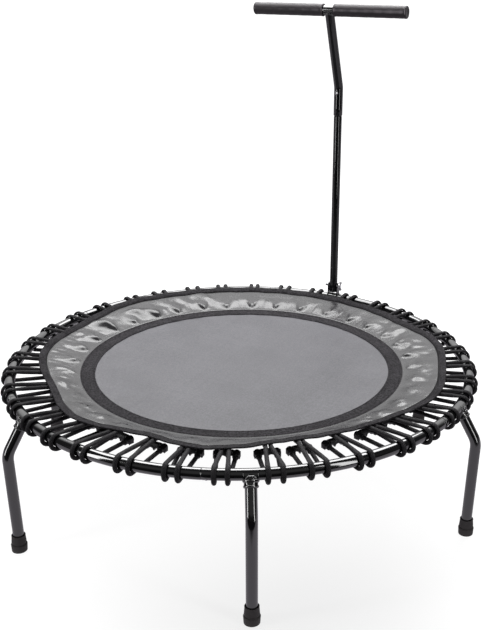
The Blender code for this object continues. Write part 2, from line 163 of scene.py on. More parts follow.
# ---------------------------------------------------------------- meshes
class Shape:
    """Vertices, faces and UVs of one mesh while it is put together."""

    def __init__(self):
        self.verts, self.faces, self.uvs, self.count = [], [], [], 0

    def add(self, verts, faces, uvs=None):
        """faces is a list of arrays, one for each number of corners; uvs matches it."""
        verts = np.asarray(verts, float).reshape(-1, 3)
        for i, group in enumerate(faces):
            group = np.asarray(group, int)
            self.faces.append(group + self.count)
            self.uvs.append(np.zeros(group.shape + (2,)) if uvs is None
                            else np.asarray(uvs[i], float))
        self.verts.append(verts)
        self.count += len(verts)
        return self

    def join(self, other):
        self.verts += other.verts
        self.faces += [f + self.count for f in other.faces]
        self.uvs += other.uvs
        self.count += other.count
        return self

    def mapped(self, change):
        """A copy with its vertices put through a function."""
        new = Shape()
        new.verts = [change(v) for v in self.verts]
        new.faces, new.uvs, new.count = list(self.faces), list(self.uvs), self.count
        return new

    def turned(self, degrees):
        return self.mapped(lambda v: turn_z(v, degrees))

    def shifted(self, offset):
        return self.mapped(lambda v: v + np.asarray(offset, float))

    def placed(self, origin, x, y, z):
        """Maps local x, y, z on to these axes and this origin."""
        axes = np.array((x, y, z), float)
        return self.mapped(lambda v: v @ axes + np.asarray(origin, float))

    def mesh(self, name):
        verts = np.concatenate(self.verts)
        sizes = np.concatenate([np.full(len(f), f.shape[1]) for f in self.faces])
        loops = np.concatenate([f.ravel() for f in self.faces])
        uvs = np.concatenate([u.reshape(-1, 2) for u in self.uvs])
        starts = np.concatenate(([0], np.cumsum(sizes)[:-1]))
        mesh = bpy.data.meshes.new(name)
        mesh.vertices.add(len(verts))
        mesh.vertices.foreach_set("co", verts.astype(np.float32).ravel())
        mesh.loops.add(len(loops))
        mesh.loops.foreach_set("vertex_index", loops.astype(np.int32))
        mesh.polygons.add(len(sizes))
        mesh.polygons.foreach_set("loop_start", starts.astype(np.int32))
        mesh.update(calc_edges=True)
        layer = mesh.uv_layers.new(name="UVMap")
        layer.data.foreach_set("uv", uvs.astype(np.float32).ravel())
        mesh.validate()
        mesh.update()
        return mesh


def strip(rows, cols, wrap_rows=False, length=None):
    """Quads over a grid that closes across its columns: u across them, v down the rows."""
    i, j = np.meshgrid(np.arange(rows if wrap_rows else rows - 1), np.arange(cols), indexing="ij")
    i2, j2 = (i + 1) % rows, (j + 1) % cols
    faces = np.stack((i * cols + j, i * cols + j2, i2 * cols + j2, i2 * cols + j), -1)
    length = np.arange(rows + 1, dtype=float) if length is None else length

    def corner(row, col):
        return np.stack((col / cols, length[row]), -1)

    uvs = np.stack((corner(i, j), corner(i, j + 1), corner(i + 1, j + 1), corner(i + 1, j)), -2)
    return faces.reshape(-1, 4), uvs.reshape(-1, 4, 2)


def open_sheet(points):
    """A sheet all round the axis, facing up. Its rows run outward."""
    faces, uvs = strip(*points.shape[:2])
    return Shape().add(points, [faces[:, ::-1]], [uvs[:, ::-1]])


def closed_sheet(points, across, step):
    """A grid that closes both ways: u from across, for each row, and v by step for each column."""
    rows, cols = points.shape[:2]
    i, j = np.meshgrid(np.arange(rows), np.arange(cols), indexing="ij")
    i2, j2 = (i + 1) % rows, (j + 1) % cols
    faces = np.stack((i * cols + j, i2 * cols + j, i2 * cols + j2, i * cols + j2), -1)

    def corner(row, col):
        return np.stack((across[row], col * step), -1)

    uvs = np.stack((corner(i, j), corner(i + 1, j), corner(i + 1, j + 1), corner(i, j + 1)), -2)
    return Shape().add(points, [faces.reshape(-1, 4)], [uvs.reshape(-1, 4, 2)])


def sweep(path, section, up=AXIS_Z):
    """A closed section, or one for each point, swept along a path and capped.

    The section is anticlockwise about the path and its first axis starts towards up.
    """
    p = np.asarray(path, float)
    n, m = len(p), section.shape[-2]
    along = unit(np.gradient(p, axis=0))
    a = np.empty_like(p)
    a[0] = unit(up - along[0] * (up @ along[0]))
    for i in range(1, n):
        a[i] = unit(a[i - 1] - along[i] * (a[i - 1] @ along[i]))
    b = np.cross(along, a)
    sec = np.broadcast_to(section, (n, m, 2))
    verts = p[:, None, :] + sec[..., 0:1] * a[:, None, :] + sec[..., 1:2] * b[:, None, :]
    faces, uvs = strip(n, m, length=lengths_along(p))
    ends = [np.arange(m)[::-1][None], ((n - 1) * m + np.arange(m))[None]]
    return Shape().add(verts, [faces] + ends, [uvs] + [np.zeros((1, m, 2))] * 2)


def tube(path, radius, sides, up=AXIS_Z):
    """A round tube. The radius can be one value or one for each point."""
    angles = circle(sides)
    radii = np.broadcast_to(np.asarray(radius, float), (len(path),))
    section = np.stack((np.cos(angles), np.sin(angles)), 1)[None] * radii[:, None, None]
    return sweep(path, section, up)


def lathe(profile, sides, wave=None):
    """Turned about Z. The profile of (radius, height) starts and ends on the axis.

    wave changes the radii, given radii, heights and angles.
    """
    prof = np.asarray(profile, float)
    body = prof[1:-1]
    angles = circle(sides)
    r = np.repeat(body[:, 0:1], sides, 1)
    z = np.repeat(body[:, 1:2], sides, 1)
    if wave is not None:
        r = wave(r, z, angles[None, :])
    side = np.stack((r * np.cos(angles), r * np.sin(angles), z), -1).reshape(-1, 3)
    faces, uvs = strip(len(body), sides, length=lengths_along(body))
    k = len(side)
    j = np.arange(sides)
    j2 = (j + 1) % sides
    last = (len(body) - 1) * sides
    first_cap = np.stack((np.full(sides, k), j2, j), 1)
    last_cap = np.stack((np.full(sides, k + 1), last + j, last + j2), 1)
    verts = np.concatenate((side, [[0, 0, prof[0, 1]], [0, 0, prof[-1, 1]]]))
    return Shape().add(verts, [faces, first_cap, last_cap], [uvs] + [np.zeros((sides, 3, 2))] * 2)


def ball(centre, radius, sides):
    middle = np.linspace(-np.pi / 2, np.pi / 2, sides // 2 + 1)[1:-1]
    profile = [(0.0, -radius)]
    profile += [(radius * math.cos(a), radius * math.sin(a)) for a in middle]
    profile.append((0.0, radius))
    return lathe(profile, sides).shifted(centre)


def rod(start, end, radius, sides, rounded=0.0):
    """A straight cylinder, not near vertical. A pair of radii gives a taper."""
    start, end = np.asarray(start, float), np.asarray(end, float)
    along = unit(end - start)
    long = np.linalg.norm(end - start)
    r0, r1 = radius if isinstance(radius, tuple) else (radius, radius)
    x = unit(AXIS_Z - along * (AXIS_Z @ along))
    y = np.cross(along, x)
    if rounded > 0:
        quarter = np.linspace(0, np.pi / 2, 5)
        rims = [(r0 - rounded + rounded * math.sin(a), rounded - rounded * math.cos(a))
                for a in quarter]
        rims += [(r1 - rounded + rounded * math.cos(a), long - rounded + rounded * math.sin(a))
                 for a in quarter]
    else:
        rims = [(r0, 0.0), (r1, long)]
    return lathe([(0.0, 0.0)] + rims + [(0.0, long)], sides).placed(start, x, y, along)


def bevel_edges(bm, edges, offset, segments):
    bmesh.ops.bevel(bm, geom=edges, offset=offset, segments=segments, profile=0.5, affect="EDGES")
    return from_bmesh(bm)


def slab(size, bevel, segments):
    """A box about the origin with bevelled edges."""
    bm = bmesh.new()
    bmesh.ops.create_cube(bm, size=1.0)
    bmesh.ops.scale(bm, vec=Vector(size), verts=bm.verts)
    return bevel_edges(bm, bm.edges[:], bevel, segments)


def plate(outline, thickness, bevel, segments):
    """A flat outline in XY, thickened about z = 0, with bevelled rims."""
    bm = bmesh.new()
    low = [bm.verts.new((x, y, -thickness / 2)) for x, y in outline]
    high = [bm.verts.new((x, y, thickness / 2)) for x, y in outline]
    n = len(outline)
    bm.faces.new(low[::-1])
    bm.faces.new(high)
    for i in range(n):
        bm.faces.new((low[i], low[(i + 1) % n], high[(i + 1) % n], high[i]))
    bmesh.ops.recalc_face_normals(bm, faces=bm.faces[:])
    rims = [e for e in bm.edges if abs(e.verts[0].co.z - e.verts[1].co.z) < 1e-9]
    return bevel_edges(bm, rims, bevel, segments)


def from_bmesh(bm):
    bm.verts.index_update()
    groups = {}
    for face in bm.faces:
        groups.setdefault(len(face.verts), []).append([v.index for v in face.verts])
    verts = [v.co[:] for v in bm.verts]
    bm.free()
    return Shape().add(verts, [np.array(g) for g in groups.values()])


def fuse(shape, voxel, smooth):
    """Joins overlapping closed shapes into one skin, with soft inner corners like a weld's."""
    obj = bpy.data.objects.new("fusing", shape.mesh("fusing"))
    scene.collection.objects.link(obj)
    skin = obj.modifiers.new("skin", "REMESH")
    skin.mode = "VOXEL"
    skin.voxel_size = voxel
    skin.adaptivity = 0.0
    soften = obj.modifiers.new("soften", "SMOOTH")
    soften.factor = 0.5
    soften.iterations = smooth
    bpy.context.view_layer.update()
    graph = bpy.context.evaluated_depsgraph_get()
    mesh = bpy.data.meshes.new_from_object(obj.evaluated_get(graph))
    bm = bmesh.new()
    bm.from_mesh(mesh)
    bpy.data.meshes.remove(mesh)
    bpy.data.objects.remove(obj, do_unlink=True)
    return from_bmesh(bm)


def make(name, shape, material, body, replaces=None, angle=38.0):
    """Makes the object. Edges sharper than angle stay hard; a body of None doesn't ride."""
    mesh = shape.mesh(name)
    mesh.shade_smooth()
    if angle < 180.0:
        mesh.set_sharp_from_angle(angle=math.radians(angle))
    obj = bpy.data.objects.new(name, mesh)
    mesh.materials.append(material)
    scene.collection.objects.link(obj)
    if body:
        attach(obj, body)
    if replaces:
        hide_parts(replaces)
    return obj


def frame_to_mat(obj):
    """Bakes obj's transform into its mesh and reads its vertex positions, which nothing then uses.
    """
    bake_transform(obj)
    co = np.zeros(len(obj.data.vertices) * 3, np.float32)
    obj.data.vertices.foreach_get("co", co)


# ---------------------------------------------------------------- shader building
class Shading:
    """Adds nodes to a shader tree. An input is a plain value or another node's output."""

    def __init__(self, tree):
        self.tree = tree

    def put(self, socket, value):
        if isinstance(value, bpy.types.NodeSocket):
            self.tree.links.new(value, socket)
        else:
            socket.default_value = value

    def node(self, kind, inputs=None, **settings):
        node = self.tree.nodes.new(kind)
        for key, value in settings.items():
            setattr(node, key, value)
        for key, value in (inputs or {}).items():
            self.put(node.inputs[key], value)
        return node

    def math(self, operation, first, second=0.0):
        inputs = {0: first, 1: second, 2: 0.0}
        return self.node("ShaderNodeMath", inputs, operation=operation).outputs[0]

    def add(self, first, second):
        return self.math("ADD", first, second)

    def times(self, first, second):
        return self.math("MULTIPLY", first, second)

    def wave(self, value, rate):
        """The sine of value times rate."""
        return self.math("SINE", self.times(value, rate))

    def vector(self, operation, first, second=None, output=0):
        inputs = {0: first} if second is None else {0: first, 1: second}
        return self.node("ShaderNodeVectorMath", inputs, operation=operation).outputs[output]

    def split(self, vector):
        return self.node("ShaderNodeSeparateXYZ", {0: vector}).outputs

    def mix(self, factor, first, second):
        """Mixes two colours: first at factor 0, second at factor 1."""
        node = self.node("ShaderNodeMix", data_type="RGBA")
        colours = [s for s in node.inputs if s.type == "RGBA"]
        for socket, value in zip((node.inputs[0], *colours), (factor, first, second)):
            self.put(socket, (*value, 1.0) if isinstance(value, tuple) else value)
        return next(s for s in node.outputs if s.type == "RGBA")

    def ramp(self, value, span, to=(0.0, 1.0)):
        """Maps value from span on to a new range, smoothly and clamped."""
        inputs = {"Value": value, "From Min": span[0], "From Max": span[1],
                  "To Min": to[0], "To Max": to[1]}
        return self.node("ShaderNodeMapRange", inputs, interpolation_type="SMOOTHSTEP").outputs[0]

    def bump(self, height, distance, strength, normal=None):
        inputs = {"Height": height, "Distance": distance, "Strength": strength}
        if normal is not None:
            inputs["Normal"] = normal
        return self.node("ShaderNodeBump", inputs).outputs[0]


class Surface(Shading):
    """A material with a principled shader, patterned in object coordinates."""

    def __init__(self, name, colour, roughness, metallic=0.0):
        self.material = bpy.data.materials.new(name)
        self.material.use_nodes = True
        super().__init__(self.material.node_tree)
        self.shader = self.tree.nodes["Principled BSDF"].inputs
        self.shader["Base Color"].default_value = (*colour, 1.0)
        self.shader["Roughness"].default_value = roughness
        self.shader["Metallic"].default_value = metallic
        self.material.diffuse_color = (*colour, 1.0)
        self.where = self.node("ShaderNodeTexCoord").outputs["Object"]

    def noise(self, scale, detail, rough, distortion=0.0, stretch=None):
        """Noise; stretch scales it apart along each axis."""
        where = self.vector("MULTIPLY", self.where, stretch) if stretch else self.where
        inputs = {"Vector": where, "Scale": scale, "Detail": detail, "Roughness": rough,
                  "Distortion": distortion}
        return self.node("ShaderNodeTexNoise", inputs).outputs[0]

    def weave(self, wavelength):
        """Plain weave in X and Y."""
        x, y, _ = self.split(self.where)
        rate = 2 * math.pi / wavelength
        return self.times(self.wave(x, rate), self.wave(y, rate))

    def uv(self):
        return self.split(self.node("ShaderNodeUVMap").outputs[0])

    def finish(self, colour, roughness, normal, specular=None, ior=None):
        values = {"Base Color": colour, "Roughness": roughness, "Normal": normal,
                  "Specular IOR Level": specular, "IOR": ior}
        for key, value in values.items():
            if value is not None:
                self.put(self.shader[key], value)
        return self.material


def scaled(colour, gain):
    return tuple(gain * c for c in colour)


# ---------------------------------------------------------------- materials
def paint_material(name, ior, film_rough):
    """Gloss black coating: faint orange peel, a thin dust film and hairline rubs."""
    s = Surface(name, (0.006, 0.006, 0.007), roughness=0.12)
    peel = s.noise(scale=420.0, detail=2.0, rough=0.5)
    film = s.noise(scale=22.0, detail=5.0, rough=0.65)
    speck = s.noise(scale=1900.0, detail=1.0, rough=0.5)
    rub = s.ramp(s.noise(scale=75.0, detail=6.0, rough=0.75, distortion=0.6), span=(0.64, 0.76))
    colour = s.mix(film, (0.0030, 0.0030, 0.0036), (0.0065, 0.0063, 0.0068))
    colour = s.mix(s.times(rub, 0.22), colour, (0.030, 0.030, 0.031))
    rough = s.add(s.ramp(film, span=(0.3, 0.8), to=film_rough), s.times(rub, 0.12))
    normal = s.bump(peel, distance=0.00004, strength=0.22)
    normal = s.bump(speck, distance=0.00001, strength=0.2, normal=normal)
    return s.finish(colour, rough, normal, ior=ior)


def rubber_material():
    """Dull dark rubber, dusty near the floor."""
    s = Surface("foot_rubber", (0.03, 0.027, 0.026), roughness=0.6)
    grime = s.noise(scale=60.0, detail=6.0, rough=0.7)
    height = s.split(s.where)[2]
    low = s.times(s.ramp(height, span=(0.016, 0.0)), s.ramp(grime, span=(0.35, 0.7)))
    colour = s.mix(grime, (0.024, 0.022, 0.022), (0.044, 0.041, 0.041))
    colour = s.mix(s.times(low, 0.25), colour, (0.07, 0.065, 0.06))
    grain = s.noise(scale=900.0, detail=3.0, rough=0.6)
    return s.finish(colour, s.ramp(grime, span=(0.2, 0.8), to=(0.46, 0.72)),
                    s.bump(grain, distance=0.00008, strength=0.5), specular=0.12)


def cord_material(cord_radius):
    """Braided elastic: eight strands each way round the sleeve, with a little lint."""
    strands = 8.0
    s = Surface("braided_cord", (0.016, 0.016, 0.017), roughness=0.6)
    u, v, _ = s.uv()
    around = s.times(u, strands)
    along = s.times(v, strands / (2 * math.pi * cord_radius))
    one_way = s.add(around, along)
    other_way = s.math("SUBTRACT", around, along)
    cell = s.times(s.wave(one_way, math.pi), s.wave(other_way, math.pi))
    height = s.math("ABSOLUTE", cell)
    fibre = s.wave(s.add(one_way, s.times(other_way, 0.2)), 22.0)
    lint = s.noise(scale=260.0, detail=4.0, rough=0.7)
    fade = s.noise(scale=9.0, detail=2.0, rough=0.5)
    colour = s.mix(s.ramp(height, span=(0.0, 0.75)),
                   (0.0026, 0.0025, 0.0028), (0.0360, 0.0345, 0.0375))
    colour = s.mix(s.ramp(lint, span=(0.62, 0.8), to=(0.0, 0.22)), colour, (0.06, 0.06, 0.063))
    colour = s.mix(s.ramp(fade, span=(0.3, 0.7), to=(0.0, 0.30)), colour,
                   (0.0075, 0.0073, 0.0080))
    normal = s.bump(height, distance=0.00045, strength=0.8)
    normal = s.bump(fibre, distance=0.00006, strength=0.35, normal=normal)
    return s.finish(colour, s.ramp(height, span=(0.0, 1.0), to=(0.70, 0.50)), normal,
                    specular=0.10)


def mat_material():
    """Woven cloth: plain weave, uneven yarns both ways, faint clouding and a soft sheen."""
    s = Surface("mat_cloth", (0.2, 0.2, 0.205), roughness=0.5)
    weave = s.weave(wavelength=0.0017)
    grain = s.noise(scale=330.0, detail=3.0, rough=0.75)
    cloud = s.noise(scale=7.0, detail=5.0, rough=0.6)
    yarn = s.add(s.noise(scale=1.0, detail=2.0, rough=0.5, stretch=(260.0, 6.0, 1.0)),
                 s.noise(scale=1.0, detail=2.0, rough=0.5, stretch=(6.0, 260.0, 1.0)))
    base = s.mix(s.ramp(cloud, span=(0.3, 0.7)),
                 (0.0815, 0.0800, 0.0905), (0.1065, 0.1045, 0.1165))
    base = s.mix(s.ramp(yarn, span=(0.75, 1.25)), s.mix(0.20, base, (0.045, 0.045, 0.048)), base)
    base = s.mix(s.ramp(grain, span=(0.40, 0.62)), s.mix(0.24, base, (0.02, 0.02, 0.021)),
                 s.mix(0.16, base, (0.17, 0.17, 0.175)))
    base = s.mix(s.ramp(weave, span=(-1.0, 1.0)), s.mix(0.22, base, (0.03, 0.03, 0.03)), base)
    return s.finish(base, s.ramp(cloud, span=(0.2, 0.8), to=(0.36, 0.44)),
                    s.bump(weave, distance=0.00010, strength=0.35), specular=0.20)


def webbing_material(name, dark, light, pitch, rough=0.78, ribs=False):
    """Twill lines, or ribs along v, with fuzz and slight fading. UVs are in metres."""
    herringbone = 0.0042            # width of one band of twill
    s = Surface(name, light, roughness=rough)
    u, v, _ = s.uv()
    if not ribs:
        flip = s.math("SIGN", s.wave(u, math.pi / herringbone))
        v = s.add(v, s.times(u, flip))
    line = s.wave(v, 2 * math.pi / pitch)
    fuzz = s.noise(scale=700.0, detail=4.0, rough=0.7)
    fade = s.noise(scale=12.0, detail=4.0, rough=0.6)
    speck = s.noise(scale=240.0, detail=4.0, rough=0.8)
    colour = s.mix(s.ramp(line, span=(-1.0, 1.0)), dark, light)
    for value, span, most, tint in ((speck, (0.42, 0.66), 0.75, scaled(light, 2.3)),
                                    (speck, (0.50, 0.36), 0.8, scaled(dark, 0.35)),
                                    (fuzz, (0.52, 0.78), 0.55, scaled(light, 3.0)),
                                    (fade, (0.35, 0.7), 0.3, dark)):
        colour = s.mix(s.ramp(value, span=span, to=(0.0, most)), colour, tint)
    normal = s.bump(line, distance=0.00025, strength=0.6)
    normal = s.bump(fuzz, distance=0.0001, strength=0.4, normal=normal)
    return s.finish(colour, rough, normal, specular=0.06)


def vinyl_material(width):
    """Shiny coated cloth with fine creases, and a painted shadow line along its outer seam, where
    it is also made duller.

    width is the sheet's width in its UVs, and places the line.
    """
    s = Surface("skirt_vinyl", (0.05, 0.05, 0.052), roughness=0.2)
    haze = s.noise(scale=26.0, detail=5.0, rough=0.6)
    crease = s.noise(scale=120.0, detail=4.0, rough=0.65, distortion=0.8)
    across = s.uv()[0]
    sewn = s.times(s.ramp(across, span=(0.868 * width, 0.900 * width)),
                   s.ramp(across, span=(1.03 * width, width)))
    colour = s.mix(haze, (0.0135, 0.0130, 0.0145), (0.0225, 0.0215, 0.0235))
    # painted shadow: the sheet is darkened in a band just inside the binding, where the binding's
    # edge would shade it
    colour = s.mix(sewn, colour, (0.004, 0.004, 0.0045))
    rough = s.add(s.ramp(haze, span=(0.3, 0.75), to=(0.20, 0.30)), s.times(sewn, 0.35))
    normal = s.bump(crease, distance=0.0006, strength=0.25)
    normal = s.bump(s.weave(wavelength=0.0011), distance=0.00003, strength=0.35, normal=normal)
    specular = s.math("SUBTRACT", 0.5, s.times(sewn, 0.47))
    return s.finish(colour, rough, normal, specular=specular, ior=1.5)


def foam_material():
    """Porous foam, streaked round the grip, with a painted highlight: paler where it faces the
    viewer.
    """
    s = Surface("grip_foam", (0.05, 0.047, 0.047), roughness=0.8)
    pore = s.node("ShaderNodeTexVoronoi", {"Vector": s.where, "Scale": 1300.0}).outputs[0]
    cloud = s.noise(scale=30.0, detail=5.0, rough=0.65)
    streak = s.noise(scale=1.0, detail=3.0, rough=0.6, stretch=(8.0, 260.0, 260.0))
    highlight_facing = s.node("ShaderNodeLayerWeight", {"Blend": 0.5}).outputs["Facing"]
    colour = s.mix(cloud, (0.021, 0.0180, 0.0203), (0.036, 0.0307, 0.0348))
    # painted highlight: a pale band down the grip where it faces the viewer, in place of a lamp's
    # reflection
    colour = s.mix(s.ramp(highlight_facing, span=(0.12, 0.01), to=(0.0, 0.85)), colour,
                   (0.260, 0.235, 0.255))
    colour = s.mix(s.ramp(streak, span=(0.5, 0.72), to=(0.0, 0.3)), colour,
                   (0.060, 0.053, 0.058))
    colour = s.mix(s.ramp(pore, span=(0.0, 0.5), to=(0.5, 0.0)), colour, (0.007, 0.006, 0.006))
    normal = s.bump(pore, distance=0.00022, strength=0.55)
    normal = s.bump(streak, distance=0.0003, strength=0.3, normal=normal)
    return s.finish(colour, s.ramp(cloud, span=(0.2, 0.8), to=(0.42, 0.56)), normal,
                    specular=0.2)


def steel_material():
    """Bright steel with mottling and fine scratches."""
    s = Surface("bright_steel", (0.63, 0.63, 0.65), roughness=0.25, metallic=1.0)
    spangle = s.noise(scale=240.0, detail=4.0, rough=0.6)
    line = s.noise(scale=1.0, detail=2.0, rough=0.5, stretch=(2400.0, 300.0, 300.0))
    return s.finish(s.mix(spangle, (0.50, 0.50, 0.52), (0.74, 0.74, 0.75)),
                    s.ramp(s.add(spangle, line), span=(0.7, 1.4), to=(0.16, 0.38)),
                    s.bump(line, distance=0.00003, strength=0.3))


def plastic_material():
    """Moulded black plastic with a fine grain."""
    s = Surface("clip_plastic", (0.022, 0.022, 0.023), roughness=0.38)
    grain = s.noise(scale=1500.0, detail=2.0, rough=0.5)
    cloud = s.noise(scale=90.0, detail=4.0, rough=0.6)
    return s.finish(s.mix(cloud, (0.007, 0.007, 0.008), (0.017, 0.017, 0.018)),
                    s.ramp(cloud, span=(0.2, 0.8), to=(0.28, 0.5)),
                    s.bump(grain, distance=0.00004, strength=0.4), specular=0.3)


CORD_R = 0.0043

PAINT = paint_material("gloss_black_paint", ior=1.85, film_rough=(0.06, 0.13))
LEG_PAINT = paint_material("satin_black_paint", ior=1.80, film_rough=(0.09, 0.17))
POST_PAINT = paint_material("gloss_black_paint_handle", ior=1.52, film_rough=(0.06, 0.13))
RUBBER = rubber_material()
CORD = cord_material(CORD_R)
CLOTH = mat_material()
BAND = webbing_material("band_webbing", dark=(0.0085, 0.0079, 0.0088),
                        light=(0.0235, 0.0220, 0.0244), pitch=0.0021)
BINDING = webbing_material("skirt_binding", dark=(0.0075, 0.0070, 0.0078),
                           light=(0.0195, 0.0183, 0.0203), pitch=0.0016, rough=0.7, ribs=True)
LOOP = webbing_material("loop_webbing", dark=(0.0050, 0.0050, 0.0055),
                        light=(0.013, 0.013, 0.014), pitch=0.0016, rough=0.8, ribs=True)
THREAD = webbing_material("seam_thread", dark=(0.0060, 0.0058, 0.0062),
                          light=(0.026, 0.025, 0.027), pitch=0.0010, rough=0.7, ribs=True)
FOAM = foam_material()
STEEL = steel_material()
PLASTIC = plastic_material()

# ---------------------------------------------------------------- ring
LEG_DOWN = unit(np.array((ELBOW_R - RING_R, 0.0, ELBOW_Z - RING_Z)))
SADDLE_HALF = 0.0140                # the bracket's half length along the ring
COLLAR_R = 0.0128
# Bracket collar and its two flanges: start and end down the leg, radius, rounding.
COLLAR_RODS = (
    (0.001, 0.0228, COLLAR_R, 0.0007),
    (0.0098, 0.0134, 0.0143, 0.0008),
    (0.0196, 0.0230, 0.0141, 0.0008),
)


def ring_tube(seam):
    """A sixth of the ring, with narrowed ends that leave a fine gap at each seam."""
    gap = math.degrees(0.00018 / RING_R)
    lip = math.degrees(0.0007 / RING_R)
    first, last = seam + gap, seam + 60.0 - gap
    azimuths = np.concatenate(([first], np.linspace(first + lip, last - lip, 62), [last]))
    radius = np.full(len(azimuths), TUBE_R)
    radius[0] = radius[-1] = TUBE_R - 0.0006
    return tube([polar(RING_R, a, RING_Z) for a in azimuths], radius, 40)


def bracket():
    """A saddle under the ring and a short flanged collar for the leg, with weld beads."""
    shape = Shape()
    across = np.cross(AXIS_Y, LEG_DOWN)
    under = RING_POINT + LEG_DOWN * 0.0014
    half = AXIS_Y * SADDLE_HALF
    shape.join(rod(under - half, under + half, 0.0119, 40, 0.0008))
    for start, end, radius, rounding in COLLAR_RODS:
        shape.join(rod(RING_POINT + LEG_DOWN * start, RING_POINT + LEG_DOWN * end,
                       radius, 40, rounding))
    for k in range(26):             # beads where the collar meets the saddle and the leg
        angle = 2 * math.pi * k / 26
        x, y = COLLAR_R * math.cos(angle), COLLAR_R * math.sin(angle)
        reach = max(math.sqrt(max(0.0, 0.0126 ** 2 - y * y)), 0.0045)
        upper = RING_POINT + AXIS_Y * x * 1.01 + across * y * 1.01 + LEG_DOWN * reach
        lower = (RING_POINT + AXIS_Y * math.cos(angle) * 0.0119
                 + across * math.sin(angle) * 0.0119 + LEG_DOWN * 0.0232)
        shape.join(ball(upper, 0.0019, 10))
        shape.join(ball(lower, 0.0014, 8))
    for end in (-1, 1):             # small tabs either side of the collar
        tab = slab((0.0036, 0.0100, 0.0030), 0.0006, 2)
        place = RING_POINT + AXIS_Y * end * 0.0132 + LEG_DOWN * 0.0118
        shape.join(tab.placed(place, AXIS_Y, across, LEG_DOWN))
    for end in (-1, 1):             # beads under the tube at the saddle's ends
        for k in range(20):
            angle = 2 * math.pi * (k + 0.5 * (end > 0)) / 20
            if math.sin(angle) < -0.25:
                rim = AXIS_X * math.cos(angle) + AXIS_Z * math.sin(angle)
                shape.join(ball(RING_POINT + AXIS_Y * end * SADDLE_HALF + rim * 0.0114,
                                0.0014, 8))
    return fuse(shape, 0.00070, 2)


def screw_head(radius, height):
    """A pan head with a recess, pointing along +Z from z = 0."""
    profile = [(0.0, -0.0015), (radius, -0.0015), (radius, height * 0.35)]
    profile += [(radius * math.cos(a * math.pi / 2 * 0.72),
                 height * (0.35 + 0.65 * math.sin(a * math.pi / 2)))
                for a in np.linspace(0.15, 1.0, 5)]
    profile += [(radius * 0.34, height), (radius * 0.30, height * 0.42), (0.0, height * 0.38)]
    return lathe(profile, 24)


def make_ring_screw(name, azimuth, out, seat, radius, height):
    """A screw on the ring, facing along out. seat is measured from the tube's centre line."""
    screw = screw_head(radius, height)
    screw = screw.placed(RING_POINT + seat, AXIS_Y, np.cross(out, AXIS_Y), out)
    make(name, screw.turned(azimuth), STEEL, "frame")


for azimuth, _, tube_name, arc in SIXTHS:
    make("ring_tube_" + tube_name, ring_tube(azimuth + SEAM_OFFSET), PAINT, "frame",
         arc)

bracket_shape = bracket()
for azimuth, leg, _, arc in SIXTHS:
    make("leg_bracket_" + leg, bracket_shape.turned(azimuth), PAINT, "frame",
         arc, 60.0)
    out = unit((0.84, 0.16, -0.50))
    make_ring_screw("leg_screw_" + leg, azimuth, out, seat=out * 0.0124 + AXIS_Y * 0.0022,
                    radius=0.0030, height=0.0024)

for k, (azimuth, *_) in enumerate(SIXTHS):
    out = unit((0.80, 0.0, -0.60))
    make_ring_screw(f"ring_screw_{k + 1}", azimuth + SEAM_OFFSET + 1.1, out,
                    seat=out * (TUBE_R - 0.0001), radius=0.0024, height=0.0014)

# ---------------------------------------------------------------- handle clevis
EAR_IN, EAR_THICK, EAR_HALF = 0.0108, 0.0030, 0.0078
EAR_RISE = PIVOT_Z - RING_Z


def clevis():
    """A sleeve on the ring with two round-topped ears, welded at their feet."""
    shape = Shape()
    centre = np.array((0.0, RING_R, RING_Z))
    shape.join(rod(centre - AXIS_X * 0.0146, centre + AXIS_X * 0.0146, 0.01235, 40, 0.0008))
    outline = [(-EAR_HALF, 0.002), (EAR_HALF, 0.002)]
    outline += [(EAR_HALF * math.cos(a), EAR_RISE + EAR_HALF * math.sin(a))
                for a in np.linspace(0, math.pi, 25)]
    for side in (-1, 1):
        ear = plate(outline, EAR_THICK, 0.0007, 2)
        shape.join(ear.placed((side * (EAR_IN + EAR_THICK / 2), RING_R, RING_Z),
                              AXIS_Y, AXIS_Z, AXIS_X))
        for y in np.linspace(-EAR_HALF * 0.92, EAR_HALF * 0.92, 10):
            z = max(math.sqrt(max(0.0, 0.0124 ** 2 - y * y)), 0.003)
            bead = (side * (EAR_IN + EAR_THICK + 0.0001), RING_R + y, RING_Z + z)
            shape.join(ball(bead, 0.0015, 8))
    return fuse(shape, 0.0006, 1)


make("handle_clevis", clevis(), PAINT, "frame", "ring_arc_front_right", 60.0)


# ---------------------------------------------------------------- legs and feet
def leg_tube():
    top = RING_POINT + LEG_DOWN * 0.0135
    elbow = np.array((ELBOW_R, 0.0, ELBOW_Z))
    ankle = LEG_END + AXIS_Z * (FOOT_TOP + 0.006)
    sole = LEG_END + AXIS_Z * (FOOT_FLOOR + 0.0003)
    bend = fillet(top, elbow, ankle, ELBOW_BEND)
    path = steps(top, bend[0], 6)[:-1] + bend + steps(bend[-1], ankle, 10)[1:]
    return tube(path + [ankle * 0.5 + sole * 0.5, sole], TUBE_R, 40, up=AXIS_Y)


